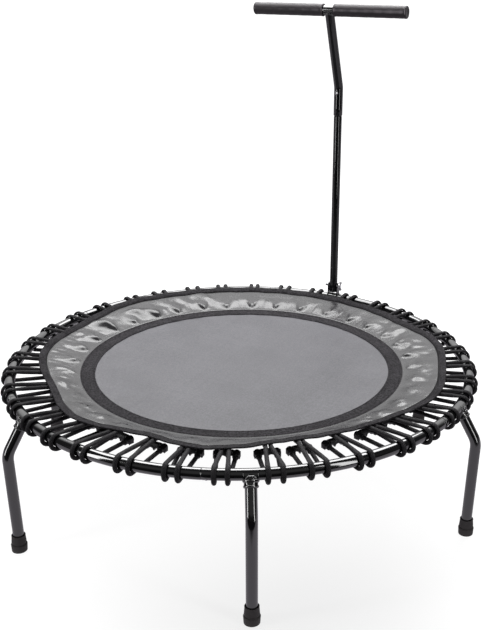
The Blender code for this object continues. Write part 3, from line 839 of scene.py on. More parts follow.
def rubber_foot():
    """A stepped rubber cup round the end of the leg: radius, height."""
    profile = [(0.0, 0.0), (0.0138, 0.0)]
    profile += [(0.0143 + 0.0011 * math.sin(a), 0.0011 - 0.0011 * math.cos(a))
                for a in np.linspace(0, math.pi / 2, 5)]
    profile += [(0.0157, 0.0060), (0.0160, 0.0125)]
    profile += [(0.0157 + 0.0006 * math.cos(a * 0.5) * (1 if a < math.pi / 2 else 0.6),
                 0.0140 + 0.0017 * a / math.pi) for a in np.linspace(0, math.pi, 7)]
    profile += [
        (0.0150, 0.0163), (0.0141, 0.0166), (0.0138, 0.0176), (0.0141, 0.0184),
        (0.0147, 0.0188), (0.0149, 0.0196), (0.0145, 0.0240), (0.0139, 0.0310),
        (0.0137, 0.0336), (0.0139, 0.0344), (0.0140, 0.0352), (0.0136, FOOT_TOP),
        (0.0123, FOOT_TOP - 0.0001), (0.01175, FOOT_TOP - 0.0012),
        (0.0116, FOOT_TOP - 0.004), (0.0116, FOOT_FLOOR), (0.0, FOOT_FLOOR),
    ]
    return lathe(profile, 56).shifted(LEG_END)


leg_shape, foot_shape = leg_tube(), rubber_foot()
for azimuth, leg, _, _ in SIXTHS:
    make("leg_tube_" + leg, leg_shape.turned(azimuth), LEG_PAINT, "frame",
         "leg_" + leg)
    make("rubber_foot_" + leg, foot_shape.turned(azimuth), RUBBER, "frame",
         "foot_" + leg, 50.0)

# ---------------------------------------------------------------- elastic cords and clips
# Each cord runs from a clip below, out and round the ring, and back to a loop at the mat.
CORD_GAP = 0.0004                   # between cord and tube
SQUASH = 0.68                       # how far a cord is flattened where it bends over the tube
CORD_MAT_R, CORD_MAT_Z = 0.3800, 0.2868
CLIP_R, CLIP_Z, CLIP_HALF = 0.3920, 0.2705, 0.0180
LOOP_X, LOOP_R = 0.3858, 0.0064     # the cord's end at the mat
NOSE_X = LOOP_X - LOOP_R
NECK_X, NECK_HALF = 0.4015, 0.0050  # the strands pinch together just outside that end


def tangent_angle(x, z, wrap, side):
    """Angle on a circle round the ring's tube where a line from (x, z) touches it."""
    dx, dz = x - RING_R, z - RING_Z
    return math.atan2(dz, dx) + side * math.acos(wrap / math.hypot(dx, dz))


LOW_WRAP = TUBE_R + CORD_R + CORD_GAP
TOP_WRAP = TUBE_R + CORD_GAP + CORD_R * SQUASH
LOW_ANGLE = tangent_angle(CLIP_R, CLIP_Z, LOW_WRAP, 1)
TOP_ANGLE = tangent_angle(CORD_MAT_R, CORD_MAT_Z, TOP_WRAP, -1)
LOW_X = RING_R + LOW_WRAP * math.cos(LOW_ANGLE)
LOW_Z = RING_Z + LOW_WRAP * math.sin(LOW_ANGLE)
TOP_X = RING_R + TOP_WRAP * math.cos(TOP_ANGLE)
TOP_Z = RING_Z + TOP_WRAP * math.sin(TOP_ANGLE)
SLOPE = (TOP_Z - CORD_MAT_Z) / (TOP_X - CORD_MAT_R)


def cord_line(x):
    """Height of the upper strands' centre line at a radius."""
    return CORD_MAT_Z + SLOPE * (x - CORD_MAT_R)


def nearest(degrees):
    """Index of the nearest cord at an azimuth, and the azimuth measured from that cord."""
    d = (np.asarray(degrees, float)[..., None] - CORD_AT + 180.0) % 360.0 - 180.0
    k = np.argmin(np.abs(d), -1)
    return k, np.take_along_axis(d, k[..., None], -1)[..., 0]


def half_space(x, at_ring):
    """Half the distance between the two upper strands at a radius."""
    t = np.clip((x - NECK_X) / (TOP_X - NECK_X), 0, 1)
    inside = LOOP_R + (NECK_HALF - LOOP_R) * smoothstep(x, 0.3862, NECK_X)
    return np.where(x < NECK_X, inside, NECK_HALF + (at_ring - NECK_HALF) * t)


def strand(side, half):
    """Half a cord, as (point, share of its thickness) from the clip to the mat."""
    first = np.array((CLIP_R + 0.006, side * CLIP_HALF, CLIP_Z + 0.0001))
    last = np.array((LOW_X, side * half, LOW_Z))
    path = [(point, 1.0) for point in steps(first, last, 12)[:-1]]
    for angle in np.linspace(LOW_ANGLE, TOP_ANGLE, 26):
        flat = 1.0 + (SQUASH - 1.0) * float(smoothstep(angle, -0.6, 0.75))
        r = TUBE_R + CORD_GAP + CORD_R * flat
        point = (RING_R + r * math.cos(angle), side * half, RING_Z + r * math.sin(angle))
        path.append((np.array(point), flat))
    for x in (*np.linspace(TOP_X, NECK_X, 14)[1:], 0.3975, 0.3935, 0.3895):
        flat = SQUASH + (1.0 - SQUASH) * float(smoothstep(-x, -0.489, -0.470))
        path.append((np.array((x, side * float(half_space(x, half)), cord_line(x))), flat))
    return path


def cord_shape(half):
    nose = []
    for angle in np.linspace(-math.pi / 2, math.pi / 2, 13):
        x = LOOP_X - LOOP_R * math.cos(angle)
        nose.append((np.array((x, LOOP_R * math.sin(angle), cord_line(x))), 1.0))
    whole = strand(-1, half) + nose + strand(1, half)[::-1]
    path = np.array([point for point, _ in whole])
    flat = np.array([share for _, share in whole])[:, None]
    angles = circle(14)[None]
    section = np.stack((np.cos(angles) * CORD_R * flat,
                        np.sin(angles) * CORD_R * (1.0 + 0.38 * (1.0 - flat))), -1)
    return sweep(path, section)


# Clip body, half of its outline: sideways, up.
CLIP_ARCH = ((0.0243, -0.0030), (0.0228, 0.0020), (0.0185, 0.0058), (0.0110, 0.0080),
             (0.0, 0.0086))
CLIP_UNDER = ((0.0, -0.0088), (0.0026, -0.0050), (0.0070, -0.0036), (0.0118, -0.0050),
              (0.0150, -0.0084), (0.0196, -0.0092), (0.0236, -0.0074))


def clip():
    """Moulded clip: an arched body with a tooth below and a ribbed socket for each cord end."""
    shape = Shape()
    lean = math.radians(24)
    out = np.array((math.cos(lean), 0, math.sin(lean)))
    rise = np.array((-math.sin(lean), 0, math.cos(lean)))
    centre = np.array((CLIP_R - 0.0004, 0, CLIP_Z + 0.0004))
    outline = list(CLIP_ARCH) + [(-y, z) for y, z in CLIP_ARCH[::-1][1:]]
    outline += [(-y, z) for y, z in CLIP_UNDER[::-1]] + list(CLIP_UNDER[1:])
    shape.join(plate(outline, 0.0092, 0.0018, 3).placed(centre, AXIS_Y, rise, out))
    face = slab((0.0200, 0.0062, 0.0020), 0.0006, 2)
    shape.join(face.placed(centre + out * 0.0046 + rise * 0.0020, AXIS_Y, rise, out))
    for side in (-1, 1):
        root = np.array((CLIP_R, side * CLIP_HALF, CLIP_Z))
        along = unit(np.array((LOW_X, side * 0.0130, LOW_Z)) - root)
        shape.join(rod(root - along * 0.0070, root + along * 0.0128, (0.0070, 0.0060),
                       24, 0.0012))
        shape.join(rod(root + along * 0.0110, root + along * 0.0138, 0.0064, 24, 0.0008))
        for k in range(4):
            rib = slab((0.0014, 0.0030, 0.0120), 0.0004, 1)
            place = root + along * (0.0062 - 0.0034 * k)
            shape.join(rib.shifted(place + np.array((0, side * 0.0062, -0.0012))))
    return fuse(shape, 0.00085, 1)


clip_shape = clip()
for k, azimuth in enumerate(CORD_AT):
    number = f"{k + 1:02d}"
    obj = make("elastic_cord_" + number, cord_shape(SPREAD[k]).turned(azimuth), CORD, None,
               "cord_" + number, 50.0)
    frame_to_mat(obj)
    make("cord_clip_" + number, clip_shape.turned(azimuth), PLASTIC, "mat",
         "cord_" + number, 60.0)

# ---------------------------------------------------------------- mat
AROUND = 720
theta = circle(AROUND)
pull = np.cos(np.radians(36.0 * nearest(np.degrees(theta))[1]))     # 1 at a cord


def rounded_wave(angle, count, seed, power=1.0):
    """A sum of random sines round the ring."""
    rnd = np.random.RandomState(seed)
    out = np.zeros_like(angle)
    for _ in range(count):
        f = rnd.randint(3, 70)
        out += np.sin(f * angle + rnd.uniform(0, 6.28)) * rnd.uniform(0.3, 1.0) / f ** (0.5 * power)
    return out / 2.0


def polar_sheet(rows):
    """Rows of (radius, height), each a number or one for each azimuth, as points."""
    r = np.array([np.broadcast_to(radius, (AROUND,)) for radius, _ in rows])
    z = np.array([np.broadcast_to(height, (AROUND,)) for _, height in rows])
    return np.stack((r * np.cos(theta), r * np.sin(theta), z), -1)


def mat_shape():
    """A thin sagging disc with a thicker hem that is drawn out at each cord."""
    radii = [*np.linspace(0.004, 0.30, 34), 0.308, 0.314, 0.318, 0.321, 0.324]
    top = [(r, MAT_Z - 0.0012 * (1 - (r / BAND_IN) ** 2)
            + 0.00022 * smoothstep(r, 0.20, 0.32) * pull) for r in radii]
    low = [(r, z - 0.0016) for r, z in top[::-1]]
    slack = 0.0006 * (1 - pull)
    hem = [
        (0.3500, MAT_Z - 0.0002), (0.3535, MAT_Z + 0.0004 + 0.0002 * pull),
        (0.3550, MAT_Z + 0.0017), (0.3680, MAT_Z + 0.0018),
        (MAT_EDGE - 0.0008 - slack, MAT_Z + 0.0010), (MAT_EDGE - 0.0004 - slack, MAT_Z - 0.0008),
        (MAT_EDGE - 0.0012, MAT_Z - 0.0026), (0.3680, MAT_Z - 0.0033),
        (0.3540, MAT_Z - 0.0032), (0.3525, MAT_Z - 0.0022), (0.3500, MAT_Z - 0.0020),
    ]
    grid = polar_sheet(top + hem + low)
    rows = len(grid)
    faces, uvs = strip(rows, AROUND, length=np.arange(rows + 1) * 0.004)
    centre = rows * AROUND
    last = (rows - 1) * AROUND
    j = np.arange(AROUND)
    j2 = (j + 1) % AROUND
    top_cap = np.stack((np.full(AROUND, centre), j, j2), 1)
    low_cap = np.stack((np.full(AROUND, centre + 1), last + j2, last + j), 1)
    verts = np.concatenate((grid.reshape(-1, 3), [[0, 0, MAT_Z - 0.0012], [0, 0, MAT_Z - 0.0028]]))
    return Shape().add(verts, [faces[:, ::-1], top_cap, low_cap],
                       [uvs[:, ::-1]] + [np.zeros((AROUND, 3, 2))] * 2)


make("mat_fabric", mat_shape(), CLOTH, "mat", "jumping_mat", 50.0)

# Webbing band on the mat's rim: its inner edge is nearly true, its outer edge steps in and
# out with the sewing.
BAND_FOOT, BAND_THICK, BAND_STEP = MAT_Z + 0.0001, 0.0015, 0.0012
scallop = 0.0010 * rounded_wave(theta, 14, 5) + 0.0010 * np.abs(np.cos(18 * theta + 0.4)) - 0.0006
inner_wave = 0.00035 * rounded_wave(theta, 12, 8)
pucker = 0.0003 * rounded_wave(theta, 16, 21, 0.4)


def band_row(q, lift):
    """Radius and height at a share q of the band's width."""
    r = BAND_IN + inner_wave * (1 - q) + (BAND_OUT - BAND_IN + scallop) * q
    z = BAND_FOOT + lift + BAND_STEP * smoothstep(q, 0.62, 1.0) + pucker * math.sin(math.pi * q)
    return r, z


def band_shape():
    grooves = (0.115, 0.885)        # pressed in by the stitching
    shares = (0.06, 0.10, 0.115, 0.13, 0.2, 0.3, 0.4, 0.5, 0.6, 0.7, 0.8, 0.87, 0.885, 0.90, 0.95)
    rows = [band_row(0.0, 0.0002), band_row(0.0, 0.0010), band_row(0.015, 0.0014)]
    rows += [band_row(q, BAND_THICK - (0.0004 if q in grooves else 0.0)) for q in shares]
    rows += [band_row(0.985, 0.0014), band_row(1.0, 0.0010), band_row(1.0, 0.0002)]
    rows += [band_row(q, 0.0) for q in (0.985, 0.9, 0.8, 0.6, 0.4, 0.2, 0.015)]
    table = np.array(rows)
    step = np.roll(table, -1, 0) - table
    across = np.concatenate(([0.0], np.cumsum(np.hypot(step[:, 0], step[:, 1]).mean(1))))
    return closed_sheet(polar_sheet(rows), across, 2 * np.pi * 0.336 / AROUND)


make("mat_band", band_shape(), BAND, "mat", "jumping_mat", 55.0)

STITCH_TAPER = np.array((0.6, 1.0, 1.1, 1.0, 0.6))


def height_on_band(r, angle):
    q = (r - BAND_IN) / (BAND_OUT - BAND_IN)
    ripple = np.interp(angle % (2 * math.pi), theta, pucker, period=2 * math.pi)
    ripple *= math.sin(math.pi * min(max(q, 0), 1))
    return BAND_FOOT + BAND_THICK + BAND_STEP * float(smoothstep(q, 0.62, 1.0)) + ripple


def band_stitches():
    """Rows of short thread arches that dip into the webbing."""
    length, gap, thread = 0.0034, 0.0012, 0.00042
    shape = Shape()
    for radius, lift in ((BAND_IN + 0.0037, 0.0), (BAND_OUT - 0.0037, 0.0),
                         (BAND_OUT - 0.0062, 0.0001)):
        count = int(round(2 * math.pi * radius / (length + gap)))
        for k in range(count):
            middle = k * 2 * math.pi / count + 0.3 * radius
            r = radius + 0.00012 * math.sin(k * 12.9898)
            path = []
            for q in np.linspace(-1, 1, 5):
                angle = middle + length / radius / 2 * q
                z = height_on_band(r, angle) + lift - 0.0005 * q * q
                path.append((math.cos(angle) * r, math.sin(angle) * r, z))
            shape.join(tube(path, thread * STITCH_TAPER, 5))
    return shape


make("mat_band_stitching", band_stitches(), THREAD, "mat", angle=80.0)


def cord_loop():
    """A webbing loop that holds a cord's end, folded over the hem."""
    half_wide, half_thick, corner_r = 0.0026, 0.00045, 0.0003
    fold_r = CORD_R + 0.0009
    path = [(0.3560, MAT_Z - 0.0042), (0.3640, MAT_Z - 0.0042), (0.3705, MAT_Z - 0.0036)]
    path += [(NOSE_X + fold_r * math.cos(a), cord_line(NOSE_X) + fold_r * math.sin(a))
             for a in np.radians(np.linspace(-100, 115, 16))]
    path += [(0.3715, MAT_Z + 0.0032), (0.3640, MAT_Z + 0.0024), (0.3600, MAT_Z + 0.0023)]
    section = []
    for first, x, y in ((0, 1, 1), (90, -1, 1), (180, -1, -1), (270, 1, -1)):
        for a in np.radians((first, first + 45, first + 90)):
            section.append((x * (half_thick - corner_r) + corner_r * math.cos(a),
                            y * (half_wide - corner_r) + corner_r * math.sin(a)))
    return sweep([(x, 0.0, z) for x, z in path], np.array(section))


loop_shape = cord_loop()
for k, azimuth in enumerate(CORD_AT):
    make(f"mat_loop_{k + 1:02d}", loop_shape.turned(azimuth), LOOP, "mat",
         angle=60.0)

# ---------------------------------------------------------------- skirt
# The outer edge is loose and runs in slack bays between a few high points: azimuth, radius.
OUTLINE = (
    (-1, 0.448), (20, 0.446), (39, 0.458), (56, 0.442), (76, 0.446), (98, 0.454),
    (121, 0.459), (142, 0.460), (157, 0.4625), (177, 0.442), (200, 0.450), (229, 0.421),
    (250, 0.437), (271, 0.404), (288, 0.426), (311, 0.399), (330, 0.409), (341, 0.420),
)


def skirt_radius(angle):
    """Radius of the skirt's outer edge: a smooth curve through OUTLINE."""
    a = np.degrees(angle) % 360.0
    a = np.where(a > 359.0, a - 360.0, a)
    knots, radii = np.array(OUTLINE, float).T
    knots = np.concatenate((knots[-3:] - 360, knots, knots[:3] + 360))
    radii = np.concatenate((radii[-3:], radii, radii[:3]))
    slope = np.gradient(radii, knots) * 0.75
    i = np.clip(np.searchsorted(knots, a, side="right") - 1, 0, len(knots) - 2)
    h = knots[i + 1] - knots[i]
    t = (a - knots[i]) / h
    return ((2 * t ** 3 - 3 * t ** 2 + 1) * radii[i] + (t ** 3 - 2 * t ** 2 + t) * h * slope[i]
            + (-2 * t ** 3 + 3 * t ** 2) * radii[i + 1] + (t ** 3 - t ** 2) * h * slope[i + 1])


def toward(angle, azimuth):
    """1 at an azimuth and -1 opposite it."""
    return np.cos(angle - math.radians(azimuth))


def support(x, y, soft=1.0):
    """Height of the top of the cords and hem; between the cords it falls away steeply."""
    r = np.hypot(x, y)
    k, local = nearest(np.degrees(np.arctan2(y, x)))
    local = np.radians(local)
    along, aside = r * np.cos(local), r * np.sin(local)
    off = np.abs(np.abs(aside) - half_space(along, SPREAD[k]))
    edge = CORD_R * 0.97
    crown = np.sqrt(np.clip(CORD_R ** 2 - np.minimum(off, edge) ** 2, 0, None))
    on = cord_line(along) + crown - np.clip(off - edge, 0, None) * 2.4 * soft
    nose = NOSE_X - CORD_R
    outside = smoothstep(along, nose - 0.0005, nose + 0.0035)
    on = on * outside + (MAT_Z - 0.01) * (1 - outside)
    hem = np.where(r < MAT_EDGE + 0.0006, MAT_Z + 0.0020, MAT_Z - 0.02)
    return np.maximum(on, hem)


def binding_line(angle):
    """The binding's centre line: radius, height, tilt and half width.

    It stands up steepest at the front left and lies flattest at the rear right.
    """
    steep = smoothstep(toward(angle, 119), -0.2, 0.7)
    flat = smoothstep(toward(angle, 299), 0.3, 0.9)
    tilt = np.radians(7.0 + 16.0 * steep - 3.0 * flat)
    half = 0.0079 + 0.0006 * steep
    radius = skirt_radius(angle) - half
    _, local = nearest(np.degrees(angle))
    inner = radius - half
    bay = smoothstep(np.abs(np.radians(local)) * radius, 0.013, 0.034)
    inner_z = cord_line(inner) + CORD_R + 0.0013 - 0.0012 * bay
    return radius, inner_z + half * np.sin(tilt), tilt, half


SKIRT_IN = 0.3500
SKIRT_AROUND, SKIRT_ROWS = 1080, 42
SEWN_IN, SEWN_OUT = 2, 7            # rows held at the inner and outer edges
skirt_theta = circle(SKIRT_AROUND)
edge_r, edge_z, edge_tilt, edge_half = binding_line(skirt_theta)
share = np.linspace(0, 1, SKIRT_ROWS)[:, None]
skirt_r = SKIRT_IN + (edge_r - SKIRT_IN) * share   # the sheet ends inside its binding

# Folds by zone: first and last azimuth, count, lean from the rim's direction in degrees,
# length, width, height, place as a share of the way out. Pairs are ranges.
FOLD_ZONES = (
    (62, 140, 14, (-12, 12), (0.026, 0.055), (0.009, 0.014), (-0.0010, 0.0013), (0.35, 0.80)),
    (130, 182, 17, (15, 75), (0.024, 0.044), (0.0085, 0.0130), (-0.0046, 0.0062), (0.18, 0.82)),
    (180, 217, 22, (70, 105), (0.016, 0.032), (0.0040, 0.0060), (-0.0012, 0.0020), (0.40, 0.92)),
    (178, 224, 16, (-20, 60), (0.014, 0.024), (0.0075, 0.0115), (-0.0028, 0.0036), (0.20, 0.70)),
    (214, 252, 14, (-28, -6), (0.026, 0.046), (0.0050, 0.0080), (-0.0020, 0.0028), (0.25, 0.88)),
    (250, 342, 16, (-9, 9), (0.030, 0.065), (0.0055, 0.0085), (-0.0018, 0.0024), (0.30, 0.78)),
    (336, 424, 48, (-80, 80), (0.012, 0.022), (0.0085, 0.0125), (-0.0040, 0.0040), (0.14, 0.84)),
)


def folds():
    """Heights of soft folds in the loose vinyl."""
    rnd = np.random.RandomState(17)
    azimuths = np.degrees(skirt_theta)[None, :]
    out = np.zeros((SKIRT_ROWS, SKIRT_AROUND))
    for first, last, count, *ranges in FOLD_ZONES:
        lean_range, long_range, wide_range, high_range, place_range = ranges
        for n in range(count):
            centre = first + (last - first) * (n + rnd.uniform(0.15, 0.85)) / count
            place = rnd.uniform(*place_range)
            lean = math.radians(rnd.uniform(*lean_range))
            length = rnd.uniform(*long_range)
            width = rnd.uniform(*wide_range)
            height = rnd.uniform(*high_range)
            if abs(height) < 0.0009:
                height = math.copysign(0.0011, height)
            curve = rnd.uniform(-6.0, 6.0)
            span = (azimuths - centre + 180.0) % 360.0 - 180.0
            along = np.radians(span) * 0.40
            across = skirt_r - (SKIRT_IN + (edge_r - SKIRT_IN) * place)
            x = along * math.cos(lean) + across * math.sin(lean)
            y = -along * math.sin(lean) + across * math.cos(lean) + curve * x * x
            out += height * np.exp(-(x / length) ** 4 - (y / width) ** 2)
    return out


def rest_height(r, angle):
    """The sheet before folds: it rises steeply on to each loop, gently between them."""
    k, local = nearest(np.degrees(angle))
    aside = np.abs(np.radians(local))
    width = 0.0105 + 0.0030 * np.sin(1.7 * k + 0.4)
    near = np.exp(-(aside * 0.37 / width) ** 2)
    near *= 0.30 + 0.70 * smoothstep(toward(angle, 118), -0.45, 0.15)
    reach = 0.398 + 0.005 * np.sin(2.9 * k + 1.0)
    end = reach + (0.3672 + 0.0010 * np.sin(4.1 * k) - reach) * near
    up = smoothstep(r, 0.3530 + 0.0035 * near, end)
    seam = MAT_Z + 0.0010
    bay = 1.0 - np.exp(-(aside * r / 0.019) ** 2)
    high = cord_line(np.maximum(r, 0.372)) + CORD_R + 0.0014 - 0.0006 * bay
    loose = (smoothstep(toward(angle, 175), 0.55, 0.85)
             + smoothstep(toward(angle, 18), 0.65, 0.90))
    return seam + (high + 0.0010 * loose - seam) * up


def start_height():
    """The folded sheet, eased on to the binding's middle plane at its outer edge."""
    slack = np.sin(np.pi * share) ** 0.7 * smoothstep(skirt_r, 0.357, 0.368)
    z = rest_height(skirt_r, skirt_theta) + (folds() + 0.0006) * slack
    inner = edge_r - edge_half
    hold = smoothstep(skirt_r, inner - 0.0060, inner + 0.0010)
    on_binding = edge_z - (edge_r - skirt_r) * np.tan(edge_tilt) + 0.0002
    return z * (1 - hold) + on_binding * hold


def skirt_points(z):
    return np.stack((skirt_r * np.cos(skirt_theta), skirt_r * np.sin(skirt_theta), z), -1)


def link_sheet(name, points):
    obj = bpy.data.objects.new(name, open_sheet(points).mesh(name))
    scene.collection.objects.link(obj)
    return obj


def draped_skirt():
    """Drapes the sheet, a little larger than its space, so it buckles on the cords."""
    rnd = np.random.RandomState(4)
    z = start_height()
    swell = np.zeros_like(z)
    for _ in range(22):
        f = rnd.randint(9, 95)
        phase = f * skirt_theta + rnd.uniform(0, 6.28) + rnd.uniform(-3, 3) * share
        swell += np.sin(phase) * rnd.uniform(0.2, 1)
    start = skirt_points(z + 0.00012 * swell * np.sin(np.pi * share))
    sheet = link_sheet("cloth_tmp", start)
    group = sheet.vertex_groups.new(name="sewn")
    ids = np.arange(SKIRT_ROWS * SKIRT_AROUND).reshape(SKIRT_ROWS, SKIRT_AROUND)
    group.add(ids[:SEWN_IN].ravel().tolist(), 1.0, "REPLACE")
    group.add(ids[-SEWN_OUT:].ravel().tolist(), 1.0, "REPLACE")

    # what it lies on: the cords and the hem, as one height field
    radii, angles = np.linspace(0.344, 0.486, 60)[:, None], circle(1440)
    x, y = radii * np.cos(angles), radii * np.sin(angles)
    under = link_sheet("cloth_under", np.stack((x, y, support(x, y)), -1))
    under.modifiers.new("hit", "COLLISION")
    under.collision.thickness_outer = 0.001
    under.collision.cloth_friction = 12.0

    cloth = sheet.modifiers.new("cloth", "CLOTH")
    fabric = cloth.settings
    fabric.quality = 5
    fabric.mass = 0.25
    fabric.tension_stiffness = 18.0
    fabric.compression_stiffness = 18.0
    fabric.shear_stiffness = 9.0
    fabric.bending_stiffness = 1.6
    fabric.tension_damping = 8.0
    fabric.compression_damping = 8.0
    fabric.shear_damping = 8.0
    fabric.bending_damping = 0.6
    fabric.air_damping = 3.0
    fabric.shrink_min = -0.007      # negative: the cloth grows
    fabric.shrink_max = -0.007
    fabric.vertex_group_mass = "sewn"
    fabric.effector_weights.gravity = 0.03
    cloth.collision_settings.use_self_collision = False
    cloth.collision_settings.collision_quality = 2
    cloth.collision_settings.distance_min = 0.001
    cloth.point_cache.frame_start = 1
    cloth.point_cache.frame_end = 30
    scene.frame_start = 1
    scene.frame_end = 30
    for frame in range(1, 17):
        scene.frame_set(frame)

    got = sheet.evaluated_get(bpy.context.evaluated_depsgraph_get())
    mesh = got.to_mesh()
    co = np.zeros(len(mesh.vertices) * 3, np.float32)
    mesh.vertices.foreach_get("co", co)
    got.to_mesh_clear()
    bpy.data.objects.remove(sheet, do_unlink=True)
    bpy.data.objects.remove(under, do_unlink=True)
    scene.frame_set(1)

    move = co.reshape(start.shape).astype(float) - start
    far = np.linalg.norm(move, axis=-1, keepdims=True)
    move = move * np.minimum(1.0, 0.004 / np.maximum(far, 1e-9))
    for _ in range(3):              # keep the drape, drop its jitter
        move = 0.5 * move + 0.25 * (np.roll(move, 1, 1) + np.roll(move, -1, 1))
    return start + 0.5 * move


def relax(points):
    """Evens small jitter in a sheet, leaving its first and last two rows."""
    mean = (np.roll(points, 1, 1) + np.roll(points, -1, 1)) * 0.25
    mean[1:-1] += (points[2:] + points[:-2]) * 0.25
    out = points.copy()
    out[2:-2] = (0.5 * points + 0.5 * mean)[2:-2]
    return out


def lifted_clear(points):
    """Lifts the sheet clear of the cords, softly and then exactly."""
    low = support(points[..., 0], points[..., 1], 0.8) + 0.0005
    z = points[..., 2]
    soft_max = 0.5 * (z + low + np.sqrt((z - low) ** 2 + 0.0006 ** 2))
    free = slice(1, -SEWN_OUT)
    points[free, :, 2] = np.where(z - low < 0.004, soft_max, z)[free]
    points = relax(points)
    low = support(points[..., 0], points[..., 1], 0.8) + 0.0004
    points[1:, :, 2] = np.maximum(points[1:, :, 2], low[1:])
    return points


def thickened(points, thickness):
    """A closed sheet: the points and their offset above, with the two long edges joined."""
    along = np.roll(points, -1, 1) - np.roll(points, 1, 1)
    normal = unit(np.cross(np.gradient(points, axis=0), along))
    normal *= np.sign(normal[..., 2:3] + 1e-9)
    both = np.concatenate((points + normal * thickness, points[::-1]), 0)
    widths = np.linalg.norm(np.diff(both, axis=0), axis=-1).mean(1)
    across = np.concatenate(([0.0], np.cumsum(widths), [0.0]))
    return closed_sheet(both, across, 2 * np.pi * 0.40 / points.shape[1])


sheet_points = relax(draped_skirt())
sheet_points = lifted_clear(sheet_points)
sheet_width = float(np.linalg.norm(np.diff(sheet_points, axis=0), axis=-1).mean(1).sum())
obj = make("skirt_sheet", thickened(sheet_points, 0.0007), vinyl_material(sheet_width), None,
           "skirt", 180.0)
frame_to_mat(obj)


def binding_section(thick=0.0036):
    """Points of (share of half width, height, share of the ripple), from the top round."""
    section = [(0.86 * x, thick * 0.5 * (1 - 0.15 * x * x), 1.0) for x in np.linspace(-1, 1, 9)]
    section += [(0.86 + 0.14 * math.cos(a), thick * 0.5 * math.sin(a) * 0.85, 0.6)
                for a in np.radians(np.linspace(90, -90, 7)[1:-1])]
    section += [(0.86 * x, -thick * 0.28, 0.0) for x in np.linspace(1, -1, 7)]
    section += [(-0.86 + 0.14 * math.cos(a), thick * 0.42 * math.sin(a), 0.3)
                for a in np.radians(np.linspace(-90, -270, 6)[1:-1])]
    return np.array(section)


def binding():
    """A gathered tape round the skirt's outer edge; also its path, outward and up."""
    count = 2400
    a = circle(count)
    radius, height, tilt, half = binding_line(a)
    mask = (0.25 + 0.75 * smoothstep(toward(a, 205), 0.80, 0.97)
            + 0.5 * smoothstep(toward(a, 8), 0.90, 0.98))
    gather = np.sin(a * 420 + 2.0 * np.sin(7 * a)) * (0.55 + 0.45 * np.sin(31 * a + 1.0)) * mask
    path = np.stack((radius * np.cos(a), radius * np.sin(a), height), -1)
    along = unit(np.roll(path, -1, 0) - np.roll(path, 1, 0))
    level = unit(np.stack((along[:, 1], -along[:, 0], np.zeros(count)), -1))
    outward = unit(level + AXIS_Z * np.tan(tilt)[:, None])
    upward = unit(np.cross(along, outward))
    upward *= np.sign(upward[:, 2:3])
    across, rise, loose = binding_section().T
    ripple = 0.00080 * gather[:, None] * loose
    seam_dip = -0.0005 * np.exp(-((across + 0.66) / 0.11) ** 2) * loose
    width = half * (1.0 + 0.05 * rounded_wave(a, 10, 33) - 0.04 * np.abs(gather))
    points = (path[:, None, :] + outward[:, None, :] * (across * width[:, None])[..., None]
              + upward[:, None, :] * (rise + ripple + seam_dip + 0.0006)[..., None])
    length = lengths_along(np.concatenate((path, path[:1])))
    faces, uvs = strip(count, len(across), wrap_rows=True, length=length)
    return Shape().add(points, [faces], [uvs]), path, outward, upward


def binding_stitches(path, outward, upward):
    shape = Shape()
    count, total = 560, len(path)
    for k in range(count):
        first = int(k * total / count)
        stitch = []
        for q, step in enumerate((0, 0, 1, 2, 4)):
            i = (first + step) % total
            rise = 0.0021 - 0.0003 * (q - 2) ** 2 / 2
            stitch.append(path[i] - outward[i] * 0.0052 + upward[i] * rise)
        shape.join(tube(stitch, 0.0004 * STITCH_TAPER, 5))
    return shape


binding_shape, *binding_frame = binding()
obj = make("skirt_binding", binding_shape, BINDING, None, "skirt", 70.0)
frame_to_mat(obj)
obj = make("skirt_binding_stitching", binding_stitches(*binding_frame), THREAD, None,
           angle=80.0)
frame_to_mat(obj)

# ---------------------------------------------------------------- handle
POST_BOTTOM = 0.3022
SPIGOT_R = 0.0089                   # the post's narrow top, inside the stem
STEM_FOOT = np.array((0, RING_R, SEAM_Z + 0.0004))
STEM_BEND = fillet(STEM_FOOT, np.array((0, RING_R, STEM_BEND_Z)), BAR_CENTRE, STEM_BEND_R)
BAR_LEAN = math.radians(1.1)        # the bar is a little out of level
BAR_DIR = np.array((math.cos(BAR_LEAN), 0.0, math.sin(BAR_LEAN)))


def post():
    profile = [(0.0, POST_BOTTOM + 0.0022), (0.0078, POST_BOTTOM + 0.0020),
               (0.0085, POST_BOTTOM + 0.0004), (0.0088, POST_BOTTOM),
               (POST_R - 0.0005, POST_BOTTOM), (POST_R, POST_BOTTOM + 0.0006)]
    profile += [(POST_R, z) for z in np.linspace(0.33, SEAM_Z - 0.0024, 10)]
    profile += [(POST_R - 0.0004, SEAM_Z - 0.0012), (SPIGOT_R, SEAM_Z - 0.0006),
                (SPIGOT_R, 0.8200), (0.0083, 0.8222), (0.0, 0.8224)]
    return lathe(profile, 48).shifted((0, RING_R, 0))


def stem():
    path = [STEM_FOOT, STEM_FOOT + AXIS_Z * 0.0008, STEM_FOOT + AXIS_Z * 0.02]
    path += STEM_BEND + steps(STEM_BEND[-1], BAR_CENTRE, 10)[1:]
    radii = np.full(len(path), STEM_R)
    radii[0] = STEM_R - 0.0006
    return tube(path, radii, 44, up=AXIS_X)


def bar():
    half = BAR_DIR * BAR_HALF
    return rod(BAR_CENTRE - half, BAR_CENTRE + half, STEM_R, 44, 0.0008)


